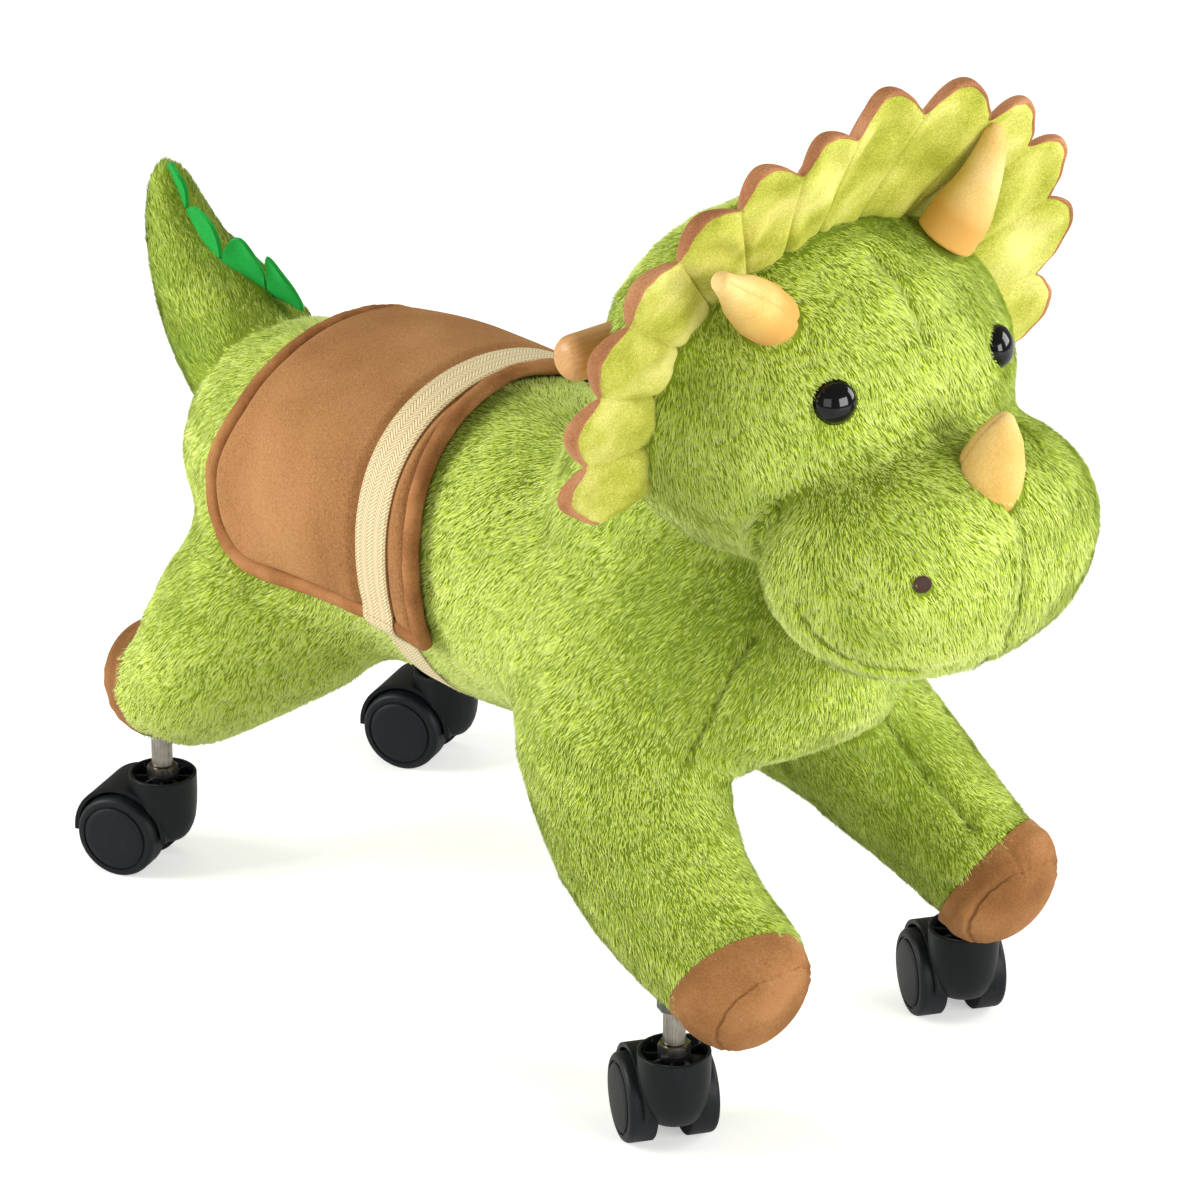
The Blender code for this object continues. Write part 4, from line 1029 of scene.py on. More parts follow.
        way = flat * np.cos(rise)[:, None] + up * np.sin(rise)[:, None]

        # Shape: a ridged blade of four points, with normals that shade it as one soft strand
        size = short * rng.uniform(0.70, 1.20, count) * (1 + 0.12 * wave(14, 14))
        root = base - up * (0.6 * MM)
        wide = coat.width * rng.uniform(0.75, 1.25, count)[:, None]
        verts, normal = np.empty((count, 4, 3)), np.empty((count, 4, 3))
        verts[:, 0], verts[:, 2] = root - side * wide, root + side * wide
        verts[:, 1] = root - np.cross(way, side) * wide * 0.9
        verts[:, 3] = root + way * (coat.length * size)[:, None]
        normal[:, 0], normal[:, 2] = unit(up - side * 0.3), unit(up + side * 0.3)
        normal[:, 1], normal[:, 3] = up, unit(up + way * 0.35)
        # The tint holds painted shade: it is darker where seams and folds part the pile, and in the listed
        # patches that lie in shade.
        tint = coat.base_tone + coat.last_tone * last + 0.09 * wave(40, 15) + 0.04 * wave(8, 16)
        tint = np.clip(tint + rng.normal(0, coat.mottle, count) - coat.parting * painted_crease_share
                       + self.brushed(base), 0.03, 0.97)
        order = np.argsort(base[:, 1 if coat.split > 2 else 0])
        for number, rows in enumerate(np.array_split(order, coat.split), 1):
            name = f"pile_{self.name}" + (f"_{number}" if coat.split > 1 else "")
            show(self.sown(name, verts[rows], normal[rows], tint[rows]), Finishes.PILE)

    def brushed(self, at: Points) -> Values:
        """Painted shade: how much darker the pile's tint is made in the listed patches, which lie in shade,
        such as under the head.
        """
        tone = np.zeros(len(at))
        for *place, size, change in self.coat.brushed:
            tone += change * bell(np.linalg.norm(at - np.array(place) * MM, axis=1), size * MM)
        return tone

    def sown(self, name: str, verts: Points, normal: Points, tint: Values) -> Piece:
        """One piece of pile.

        Args:
            name: Its name.
            verts: Left foot, ridge foot, right foot and tip of each tuft.
            normal: The way that each of those faces.
            tint: Shade of each tuft, from 0 to 1.

        Returns:
            The piece, with a map of its own for its colours.
        """
        count = len(verts)
        faces = np.array([(0, 3, 1), (1, 3, 2)])[None] + (np.arange(count) * 4)[:, None, None]
        faces = faces.reshape(-1, 3)
        piece = raw_piece(name, verts.reshape(-1, 3), faces)
        only(piece)
        bpy.ops.object.shade_smooth()
        piece.data.normals_split_custom_set_from_vertices(normal.reshape(-1, 3).tolist())
        half = 0.004
        u = np.stack([tint - half, tint, tint, tint, tint, tint + half], axis=1)
        v = np.tile(np.array([0.03, 0.97, 0.03, 0.03, 0.97, 0.03]), (count, 1))
        chart = piece.data.uv_layers.new(name="OFBake")
        chart.uv.foreach_set("vector", np.stack([u, v], axis=2).astype(np.float32).ravel())
        return piece


class Nap:
    """Directions in which the pile of each part is combed."""

    @staticmethod
    def head(at: Points) -> Points:
        """Down the face, falling in towards its middle."""
        x = at[:, 0]
        return np.stack([-0.30 * np.tanh(x / (30 * MM)), -0.25 + 0 * x, -1.0 + 0 * x], axis=1)

    @staticmethod
    def trunk(at: Points) -> Points:
        """Down the flanks and a little back, then along each leg to its hoof."""
        x, y, z = at.T
        low = clamp((TORSO_Z + 10 * MM - z) / (90 * MM)) * clamp(np.abs(y) / MM / 60 - 1.5)
        back = 0.45 * (1 - low) + np.where(y < 0, -0.75, 0.55) * low
        return np.stack([0.9 * x / (95 * MM) * (1 - low), back, -0.9 + 0 * low], axis=1)

    @staticmethod
    def tail(at: Points) -> Points:
        """Out along the tail to its tip."""
        return np.tile((0.0, 0.55, 1.0), (len(at), 1))


class FaceAndMuzzle(Plush):
    """Head and muzzle, which run into each other over the nose and fold at the cheeks."""

    CHEEK, NOSE = 0.04, 0.86               # give at the cheeks, and what the nose adds to it
    START, BLEND = 30 * MM, 26 * MM        # where the nose's share starts over the muzzle, and its height

    def give(self, at: Points) -> Values:
        """Much over the nose, little at the cheeks."""
        return self.CHEEK + self.NOSE * ease((at[:, 2] - MUZZLE_Z - self.START) / self.BLEND)


class Trunk(Plush):
    """Torso, legs and tail, with the back stuffed full under the saddle and the belly hanging a little."""

    BACK, BELLY, CHEST = 11.0 * MM, 19.0 * MM, 24.0 * MM   # how far back and chest rise and the belly hangs
    SPREAD = 0.10                          # how much wider the back is stuffed
    CROTCH, RUMP = 0.93, 0.65              # how much less the skin gives there

    def give(self, at: Points) -> Values:
        """Full at the legs, little where the tail is sewn on and between the front legs."""
        x, y, z = at.T
        crotch = clamp((-150 * MM - y) / (30 * MM)) * np.exp(-(x / (70 * MM)) ** 4)
        rump = clamp((z - RIDE_Z - 150 * MM) / (40 * MM)) * clamp((y - 225 * MM) / (30 * MM))
        return (1 - self.CROTCH * crotch) - self.RUMP * rump

    def fuller(self, at: Points) -> Points:
        """Lifts the back, rounds the shoulders behind the neck and lowers the belly."""
        y = at[:, 1] / MM

        def between(start: float, rise: float, end: float, fall: float) -> Values:
            """1 between two places along the trunk, easing to 0 beyond them."""
            return ease(clamp((y - start) / rise) * clamp((end - y) / fall))

        back = between(-70, 60, 240, 130) * ease((at[:, 2] - TORSO_Z + 10 * MM) / (85 * MM))
        low = clamp((TORSO_Z - 20 * MM - at[:, 2]) / (50 * MM))
        belly = between(-50, 90, 270, 70) * low * bell(at[:, 0], 72 * MM)
        chest = between(-300, 60, -90, 60) * low * bell(at[:, 0], 55 * MM)
        rise = self.BACK * back - self.BELLY * belly + self.CHEST * chest
        return at + np.stack([self.SPREAD * back * at[:, 0], 0 * y, rise], axis=1)


def mirrored(*seam: Triple) -> tuple[Seam, ...]:
    """A seam and its twin on the other side."""
    return seam, tuple((-x, y, z) for x, y, z in seam)


@dataclass
class StuffedBody:
    """Trunk with its legs and tail, and head with its muzzle."""

    trunk: Plush = field(default_factory=lambda: Trunk(
        "trunk", ("plush_torso", *(f"plush_leg_{c.name}" for c in Corner), "plush_tail"),
        Coat(Nap.trunk, length=5.6 * MM, last_nap=Nap.tail, last_tone=-0.50, split=7,
             # These patches are painted shade: the pile is tinted darker under the head and at two other
             # places in shade.
             brushed=((-74, -186, 290, 62, -0.60), (62, -212, 190, 55, -0.40), (-104, 186, 182, 46, -0.32))),
        mirrored((-50, -222, 292), (-63, -216, 272), (-71, -209, 249), (-74, -200, 229), (-76, -192, 212))
        + (((54, -156, 242), (57, -170, 228), (60, -184, 212), (63, -196, 199), (67, -208, 185),
            (71, -223, 169), (75, -240, 157), (75, -256, 147)),), seed=7, fillet=19 * MM, rounds=88,
        voxel=3.8 * MM, under=tuple(f"hoof_{c.name}" for c in Corner), cuffs=Hooves.cuffs()))
    head: Plush = field(default_factory=lambda: FaceAndMuzzle(
        "head", ("plush_head", "plush_muzzle"), Coat(Nap.head),
        (((0, -244, 503), (0, -256, 494), (0, -272, 482), (0, -288, 466), (0, -292, 461)),
         ((0, -351, 393), (0, -360, 380), (0, -364, 365), (0, -363, 348), (2, -357, 323), (3, -345, 303),
          (2, -330, 290)))
        + mirrored((-98, -294, 347), (-96, -300, 337), (-92, -307, 327), (-84, -316, 317), (-72, -326, 311),
                   (-52, -338, 307)), seed=3, fillet=11 * MM, rounds=45))

    def skins(self) -> None:
        """Both skins, before anything is laid on them."""
        for part in (self.trunk, self.head):
            part.make_skin()

    def pile(self, over: Sequence[Piece]) -> None:
        """Draws the skins in and grows the pile round the pieces that lie on it."""
        for part in (self.trunk, self.head):
            part.draw_in(over)
            part.tufts()


# Frill

def inflate(piece: Piece, sewn: Values, pressure: float, grow: float, cap: float,
            bend: float = 0.4) -> None:
    """Blows a sewn shell up with Cloth and applies the result.

    Args:
        piece: The shell.
        sewn: How firmly each vertex is held, from 0 to 1.
        pressure: Pressure inside.
        grow: How much larger the cloth is cut than the shape it is sewn to.
        cap: The most that a point may move.
        bend: Stiffness against folding.
    """
    start = points_of(piece)
    group = piece.vertex_groups.new(name="sewn")
    for level in np.unique(np.round(sewn, 2)):
        if level > 0:
            group.add(np.flatnonzero(np.round(sewn, 2) == level).tolist(), float(level), "REPLACE")
    only(piece)
    cloth = piece.modifiers.new("cloth", "CLOTH")
    how = cloth.settings
    how.quality, how.mass, how.air_damping = 6, 0.2, 4.0
    how.use_pressure, how.uniform_pressure_force = True, pressure
    how.tension_stiffness = how.compression_stiffness = 18.0
    how.shear_stiffness, how.bending_stiffness = 6.0, bend
    how.shrink_min, how.vertex_group_mass, how.pin_stiffness = -grow, "sewn", 1.0
    how.effector_weights.gravity = 0.0
    cloth.collision_settings.use_collision = False
    cloth.point_cache.frame_start, cloth.point_cache.frame_end = 1, 20
    for number in range(1, 21):
        bpy.context.scene.frame_set(number)
    bpy.ops.object.modifier_apply(modifier=cloth.name)
    bpy.context.scene.frame_set(1)
    piece.vertex_groups.clear()
    move = points_of(piece) - start
    far = np.linalg.norm(move, axis=1, keepdims=True)
    put_points(piece, start + move * np.minimum(1.0, cap / np.maximum(far, SMALL)))


def split_off(piece: Piece, name: str, chosen: Values) -> Piece:
    """Separates the chosen faces into a piece of their own."""
    only(piece)
    piece.data.polygons.foreach_set("select", chosen)
    bpy.ops.object.mode_set(mode="EDIT")
    bpy.ops.mesh.select_mode(type="FACE")
    bpy.ops.object.mode_set(mode="OBJECT")
    piece.data.polygons.foreach_set("select", chosen)
    bpy.ops.object.mode_set(mode="EDIT")
    bpy.ops.mesh.separate(type="SELECTED")
    bpy.ops.object.mode_set(mode="OBJECT")
    part = [o for o in bpy.context.selected_objects if o is not piece][0]
    part.name = part.data.name = name
    return part


@dataclass
class Frill:
    """The fan of thirteen stuffed lobes, lime in front and brown behind."""

    middles: tuple[float, ...] = (-96, -80, -66, -53, -40, -28, -16, -2, 15.5, 33, 50.5, 68, 86)
    lobes: int = 13
    per_lobe: int = 18
    around: int = 72
    top_radius: float = 189.0 * MM
    side_radius: float = 168.0 * MM
    notch: float = 16.0 * MM
    lean: float = 60.0 * MM
    top_y: float = -267.0 * MM + BODY_Y
    side_y: float = -197.0 * MM + BODY_Y
    head_half: Pair = (116.0 * MM, 97.0 * MM)
    face: float = 0.46             # share of the section that each velvet's flat face takes
    bend: float = 0.04             # half the share that goes round the rim
    seam: float = 0.457            # where lime meets brown, as a share of the way round
    root: float = 0.77             # where the fan leaves the head, as a share of the head's outline
    puff: Pair = (4.8 * MM, 2.4 * MM)       # half a lobe's thickness, and more in its middle
    bulge: float = 4.0 * MM        # how far the rim stands out between two seams
    fold: float = 1.35             # millimetres of the tension folds, of the gathers and of the sewn rim
    gather: float = 0.9
    sink: float = 1.4
    pieces: list[Piece] = field(default_factory=list)

    PRESSURE, GROW, CAP = 6.0, 0.07, 7.0 * MM

    def outward(self, v: Values) -> Values:
        """Way from the head to the rim on either face, from 0 to 1."""
        return clamp(np.where(v < 0.5, v / self.face, (1 - v) / self.face))

    def turned(self, u: Values) -> tuple[Values, Values, Values]:
        """Angle, lobe and place across the lobe (-1 and 1 at its seams), with columns closer at the seams."""
        even = (u - 0.5) * self.lobes
        lobe = np.round(even)
        s = 2 * (even - lobe)
        s = np.sign(s) * (1 - (1 - np.abs(s)) ** 1.45)
        m = np.array(self.middles)
        m = np.concatenate([[1.5 * m[0] - 0.5 * m[1]], m, [1.5 * m[-1] - 0.5 * m[-2]]])
        knots = np.concatenate([[-6.5], np.arange(-6, 7), [6.5]])
        return np.radians(np.interp(lobe + s / 2, knots, m)), lobe, s

    def place(self, u: Points, v: Points) -> Points:
        """A point along the fan (u) and round its section (v), from the head and back."""
        angle, _, s = self.turned(u)
        turn, rounding = np.degrees(angle), 0.5
        wide = np.abs(turn)
        high = 1 - (np.sqrt(s * s + rounding ** 2) - rounding) / (sqrt(1 + rounding ** 2) - rounding)
        tip = (self.side_radius + (self.top_radius - self.side_radius) * np.cos(angle) ** 2
               + 13.0 * MM * bell(wide - 60, 25) - 10.0 * MM * clamp((wide - 92) / 7)
               - 7.0 * MM * bell(turn + 16, 7))
        round_rim = np.clip((v - 0.5) / self.bend, -1, 1) * pi / 2
        side = np.where(v < self.face, -1.0, np.where(v > 1 - self.face, 1.0, np.sin(round_rim)))
        bulge = self.bulge * (1 - s * s) * np.cos(round_rim)
        notch = self.notch * (1 - 0.5 * bell(turn + 52, 28))
        edge = tip - notch * (1 - high) - 2.0 * MM + bulge
        across, above = self.head_half
        root = self.root / np.sqrt((np.sin(angle) / across) ** 2 + (np.cos(angle) / above) ** 2)
        share = self.outward(v) ** 0.9
        radius = root + (edge - root) * share
        puff = self.puff[0] + self.puff[1] * clamp(1 - ((share - 0.5) / 0.5) ** 2)
        thick = (0.8 * MM + puff * np.sqrt(clamp(1 - s * s))) * np.minimum(1.0, 5.0 * share)
        thick = thick * (1 - np.isclose(np.abs(u - 0.5), 0.5))
        swept = clamp((np.abs(angle) - radians(20)) / radians(78)) ** 1.15
        y = self.top_y + (self.side_y - self.top_y) * swept + self.lean * (1 - share) * (1 - swept)
        return np.stack([radius * np.sin(angle), y + side * thick, FRILL_Z + radius * np.cos(angle)], axis=1)

    def creases(self, u: Values, v: Values) -> Values:
        """How far each point stands out: tension folds, gathers at the head and the sewn rim."""
        _, lobe, s = self.turned(u)
        out = self.outward(v)
        lean = np.where(lobe % 2 == 0, 1.0, -1.0) * (0.7 + 0.25 * np.sin(2.4 * lobe))
        fold = np.sin(tau * (1.9 * out + lean * s * 0.6) + 1.7 * lobe)
        fold = fold * clamp(out * 5) * clamp((1 - out) * 6)
        gather = np.cos(3 * pi * s) * clamp(1 - out / 0.35)
        rim = bell(v - self.seam, 0.009)
        pucker = np.sin(u * tau * self.lobes * 5 + 3 * np.sin(9 * u)) * bell(v - self.seam, 0.03)
        creased = (self.fold * fold + self.gather * gather) * (1 - np.abs(s) ** 3)
        return (creased - self.sink * rim + 0.35 * pucker) * MM

    def build(self) -> None:
        """Blows the sewn fan up and parts its two velvets."""
        at = []

        def place(u: Points, v: Points) -> Points:
            """A point of the fan, whose u and v are kept."""
            at.extend((u, v))
            return self.place(u, v)

        piece = grid("frill_brown", self.lobes * self.per_lobe, self.around, place)
        u, v = at
        s, rim = np.abs(self.turned(u)[2]), np.abs(v - 0.5) < 0.05
        sewn = np.where((s > 0.99) | (v < 0.03) | (v > 0.97), 1.0, np.where(rim & (s < 0.2), 0.5, 0.0))
        inflate(piece, sewn, self.PRESSURE, self.GROW, self.CAP)
        modify(piece, "SUBSURF", levels=1, render_levels=1)
        around = np.empty(len(piece.data.loops) * 2)
        piece.data.uv_layers[0].uv.foreach_get("vector", around)
        corner = np.empty(len(piece.data.loops), dtype=np.int32)
        piece.data.loops.foreach_get("vertex_index", corner)
        chart = np.zeros((len(piece.data.vertices), 2))
        chart[corner] = around.reshape(-1, 2)
        put_points(piece, points_of(piece) + normals_of(piece) * self.creases(*chart.T)[:, None])
        starts = np.array([p.loop_start for p in piece.data.polygons])
        middle = around.reshape(-1, 2)[:, 1][starts[:, None] + np.arange(4)].mean(axis=1)
        lime = split_off(piece, "frill_lime", middle < self.seam)
        self.pieces += [show(smooth(lime), Finishes.LIME, "frill_front", fill=0.8),
                        show(smooth(piece), Finishes.BROWN, "frill_back", fill=0.8)]


# Horns, eyes and nostrils

@dataclass
class Horn:
    """A stuffed velvet horn."""

    name: str
    base: Triple
    lean: Triple
    length: float
    radius: float = 16.5 * MM
    tip: float = 6.5 * MM
    curve: float = 0.10            # how far the tip bends upwards, as a share of the length
    belly: tuple[float, ...] = (1.0, 1.0, 0.84, 0.62, 0.42, 0.20)
    seam: float = 0.0              # angle of the sewn seam round the horn
    blunt: float = 0.86            # where the tip starts to close, as a share of the length
    crease: float = 1.3 * MM       # depth and half width of the seam

    BELLY_AT = (-0.25, 0.1, 0.4, 0.7, 0.92, 1.0)           # places along the horn that belly is given for

    def place(self, u: Points, v: Points) -> Points:
        """A point round (u) and along (v) the horn."""
        base, run = Vector(self.base), Vector(self.lean).normalized()
        bend = Vector((0, 0, 1)) - run * run.z
        t = -0.25 + 1.25 * v
        size = np.interp(t, self.BELLY_AT, self.belly)
        r = self.tip + (self.radius - self.tip) * clamp((size - 0.42) / 0.58)
        close = np.sqrt(clamp(1 - clamp((t - self.blunt) / (1 - self.blunt)) ** 2))
        shut = np.sqrt(clamp(1 - clamp((-0.2 - t) / 0.05) ** 2))
        r = r * close * shut
        angle = tau * u
        gap = np.abs((angle - self.seam + pi) % tau - pi) * np.maximum(r, 1e-4)
        r = r - self.crease * bell(gap, self.crease) * close
        side = (Vector((0, 1, 0)) - run * run.y).normalized()
        rise = run.cross(side)
        mid = (np.array(base) + np.outer(self.length * t, run)
               + np.outer(self.curve * self.length * np.maximum(t, 0) ** 2, bend))
        return mid + r[:, None] * (np.outer(np.cos(angle), side) + np.outer(np.sin(angle), rise))

    def build(self) -> Piece:
        """Makes the horn and the stitches of its seam."""
        piece = weld(grid(self.name, 72, 56, self.place))
        show(smooth(piece), Finishes.CREAM, self.name.replace("_velvet", ""), fill=0.9)
        v = np.linspace(0.3, 0.93, 120)
        route = self.place(np.full(120, self.seam / tau), v)
        axis = self.place(np.full(120, (self.seam + pi) / tau), v)
        at, way = along(route, 3.0 * MM)
        inner = along(axis, 3.0 * MM)[0]
        up = unit(at - inner[:len(at)]) if len(inner) >= len(at) else way
        sew = stitches(self.name + "_stitches", at + up * 0.2 * MM, way, up, 2.0 * MM, 0.35 * MM,
                       Finishes.CREAM_THREAD)
        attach(sew, BODY)
        return piece


@dataclass
class Face:
    """Horns, eyes and nostrils."""

    eye: Triple = (58.0, -287.0, 25.0)
    half: Triple = (116.0, 103.0, 97.0)    # of the head
    spot_radius: float = 5.0 * MM
    spot_half: float = 4.4 * MM    # from the middle of a nostril to its outer stitches
    spot_rows: int = 16
    spot_proud: float = 0.6 * MM
    spot_thread: float = 0.5 * MM
    spots: list[Piece] = field(default_factory=list)

    def horns(self) -> None:
        """The three horns."""
        brow_y, nose_y = -255 * MM + BODY_Y, -337 * MM + BODY_Y
        for horn in (
                Horn("horn_brow_right_velvet", (-78 * MM, brow_y, HEAD_Z + 69 * MM), (-52, -22, 38), 66 * MM,
                     radius=15.5 * MM, tip=5.2 * MM, curve=0.0, belly=(0.95, 1.0, 0.87, 0.58, 0.45, 0.43),
                     seam=radians(200), blunt=0.93),
                Horn("horn_brow_left_velvet", (58 * MM, brow_y, HEAD_Z + 85 * MM), (26, -22, 52), 55 * MM,
                     curve=0.40, belly=(1.0, 0.98, 0.76, 0.57, 0.44, 0.20), seam=radians(210)),
                Horn("horn_nose_velvet", (0, nose_y, MUZZLE_Z + 37 * MM), (0, -14, 41), 51 * MM,
                     radius=18.5 * MM, belly=(0.94, 1.0, 0.93, 0.70, 0.40, 0.18), seam=radians(60))):
            self.spots.append(horn.build())

    def eyes(self) -> None:
        """Two safety eyes with a thin rim."""
        for name, side in (("right", -1), ("left", 1)):
            at = Vector((side * self.eye[0] * MM, self.eye[1] * MM + BODY_Y, HEAD_Z + self.eye[2] * MM))
            lean = (side * self.eye[0] / self.half[0] ** 2, (self.eye[1] + 205) / self.half[1] ** 2,
                    self.eye[2] / self.half[2] ** 2)
            place = Matrix.Translation(at) @ Vector(lean).to_track_quat("Z", "Y").to_matrix().to_4x4()
            dome = [(0.0, -6.0 * MM), (10.6 * MM, -6.0 * MM), (11.2 * MM, -1.5 * MM), (12.0 * MM, -0.6 * MM),
                    (12.1 * MM, 0.1 * MM), (11.7 * MM, 0.8 * MM)]
            dome += [(11.3 * MM * cos(a), 0.6 * MM + 7.4 * MM * sin(a))
                     for a in (radians(8 + 82 * i / 14) for i in range(14))] + [(0.0, 8.0 * MM)]
            piece = lathe(f"eye_{name}_dome", dome, place, 48)
            show(smooth(piece, 40), Finishes.EYE, f"eye_{name}")

    def nostrils(self) -> None:
        """Two embroidered spots."""
        tree, _ = tree_of(bpy.data.objects["skin_head"])
        for name, side in (("right", -1), ("left", 1)):
            guess = (-61, -350, 364) if side < 0 else (90, -308, 364)
            centre, out, _, _ = tree.find_nearest(Vector(guess) * MM)
            across = out.cross(Vector((0, 0, 1))).normalized()
            down = out.cross(across)
            pieces = []
            for row in np.linspace(-self.spot_half, self.spot_half, self.spot_rows):
                span = 2 * sqrt(max(self.spot_radius ** 2 - row ** 2, 1e-7))
                at = centre + across * float(row) + out * self.spot_proud
                pieces.append(stitches("satin", np.array([at]), np.array([down]), np.array([out]), span,
                                       self.spot_thread, Finishes.NOSE_THREAD))
            spot = join(f"nostril_{name}", *pieces)
            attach(spot, BODY)
            self.spots.append(spot)

    def build(self) -> None:
        """Makes the whole face."""
        self.horns()
        self.eyes()
        self.nostrils()


# Tail plates, saddle and girth

@dataclass
class TailPlates:
    """Four felt plates sewn along the tail; the two at its root stand straight up."""

    feet: Seam = (
        (-3.0, 346.0, 384.0), (-4.9, 326.1, 361.9), (-6.4, 292.9, 339.6), (5.0, 265.0, 328.0),
        (14.0, 243.0, 320.0))
    outs: Seam = (
        (-0.20, -0.78, 0.60), (-0.08, -0.68, 0.72), (-0.05, -0.12, 1.0), (-0.16, 0.0, 1.0))
    heights: tuple[float, ...] = (10.5, 15.0, 20.5, 22.5)
    flops: tuple[float, ...] = (10.0, 16.0, 8.0, 12.0)
    peaks: tuple[float, ...] = (0.42, 0.46, 0.45, 0.22)
    falls: tuple[float, ...] = (0.9, 0.9, 0.52, 0.95)
    thick: float = 2.4 * MM
    sink: float = 4.5 * MM

    def build(self) -> None:
        """Cuts, rounds and curls each plate."""
        ends = np.array(self.feet) * MM
        for number in range(4):
            foot, run = ends[number], ends[number + 1] - ends[number]
            out = np.array(self.outs[number]) / np.linalg.norm(self.outs[number])
            across = unit(np.cross(run, out)[None])[0]
            flop, peak, high = radians(self.flops[number]), self.peaks[number], self.heights[number] * MM
            fall = self.falls[number]

            def place(u: Points, v: Points) -> Points:
                """A point along (u) and up (v) the plate."""
                rise = np.where(u < peak, np.sin(pi / 2 * clamp(u / peak)) ** 0.62,
                                np.cos(pi / 2 * clamp((u - peak) / (1 - peak))) ** fall)
                up = -self.sink + (self.sink + high * rise) * v
                angle = flop * clamp(up / high) ** 2 + 0.08 * np.sin(7 * u + number)
                return (foot + np.outer(0.02 + 0.96 * u, run) + np.outer(up * np.cos(angle), out)
                        + np.outer(up * np.sin(angle), across))

            piece = grid(f"felt_plate_{number + 1}_felt", 30, 16, place)
            modify(piece, "SOLIDIFY", thickness=self.thick, offset=0.0)
            modify(piece, "BEVEL", width=0.7 * MM, segments=2, limit_method="ANGLE", angle_limit=radians(50))
            show(smooth(weld(piece)), Finishes.FELT, f"felt_plate_{number + 1}")


def from_axis(at: Points) -> Points:
    """How each point lies from the trunk's axis, across it."""
    return (at - (0, 0, TORSO_Z)) * (1, 0, 1)


class Drape:
    """The trunk's surface round its length, on which the saddle and the girth lie."""

    HALF_WIDTH = 95.0 * MM
    HALF_HEIGHT = 90.0 * MM
    TURNS, STEPS = 144, 65         # how often it is measured round the barrel, and along it every 4 mm
    OUT = 60 * MM                  # how far outside each ray starts
    # Place along the trunk in mm, then the drop of its axis and its half width and height as shares.
    ROWS = np.array([(280.0, -0.03, 0.28, 0.28), (267.4, -0.03, 0.58, 0.58), (243.6, -0.03, 0.78, 0.77),
                     (207.2, -0.03, 0.898, 0.865), (165.2, -0.02, 0.930, 0.893), (123.2, -0.01, 0.928, 0.900),
                     (78.4, 0.00, 0.910, 0.91), (33.6, 0.00, 0.900, 0.92), (-14.76, -0.03, 0.920, 0.94),
                     (-59.04, -0.04, 0.965, 0.98)])[::-1]

    def __init__(self, skin: Piece) -> None:
        """Measures how far the skin stands from the barrel's plain shape."""
        tree, _ = tree_of(skin)
        turns, ys = np.linspace(-pi, pi, self.TURNS + 1), np.linspace(-25, 235, self.STEPS + 1) * MM
        turn, y = (m.ravel() for m in np.meshgrid(turns, ys, indexing="ij"))
        plain, axis = self.plain(turn, y)
        way = unit(plain - axis)
        extra = np.zeros(len(turn))
        for i in range(len(turn)):
            hit = tree.ray_cast(plain[i] + way[i] * self.OUT, -way[i], 2 * self.OUT)
            if hit[0] is not None:
                extra[i] = np.clip(self.OUT - hit[3], -6.0 * MM, 27.0 * MM)
        extra = extra.reshape(self.TURNS + 1, self.STEPS + 1)
        for _ in range(10):
            wide = np.pad(extra, ((1, 1), (1, 1)), "edge")
            extra = (wide[:-2, 1:-1] + wide[2:, 1:-1] + wide[1:-1, :-2] + wide[1:-1, 2:] + 2 * extra) / 6
        self.extra = extra

    @classmethod
    def plain(cls, turn: Values, y: Values) -> tuple[Points, Points]:
        """Points of the barrel's plain shape at an angle from its top, and its axis there."""
        drop, wide, high = (np.interp(y / MM, cls.ROWS[:, 0], cls.ROWS[:, k]) for k in (1, 2, 3))
        z = TORSO_Z + drop * cls.HALF_HEIGHT
        axis = np.stack([0 * z, y + BODY_Y, z], axis=1)
        return axis + np.stack([wide * cls.HALF_WIDTH * np.sin(turn), 0 * z,
                                high * cls.HALF_HEIGHT * np.cos(turn)], axis=1), axis

    def over(self, turn: Values, y: Values, lift: Values | float) -> Points:
        """Points above the skin at an angle from its top."""
        i = np.clip((turn + pi) / tau * self.TURNS, 0, self.TURNS - 0.001)
        j = np.clip((y / MM + 25) / 4.0, 0, self.STEPS - 0.001)
        a, b = i.astype(int), j.astype(int)
        p, q, e = i - a, j - b, self.extra
        extra = (e[a, b] * (1 - p) * (1 - q) + e[a + 1, b] * p * (1 - q) + e[a, b + 1] * (1 - p) * q
                 + e[a + 1, b + 1] * p * q)
        plain, axis = self.plain(turn, y)
        way = unit(plain - axis)
        return plain + way * (extra + lift)[:, None]


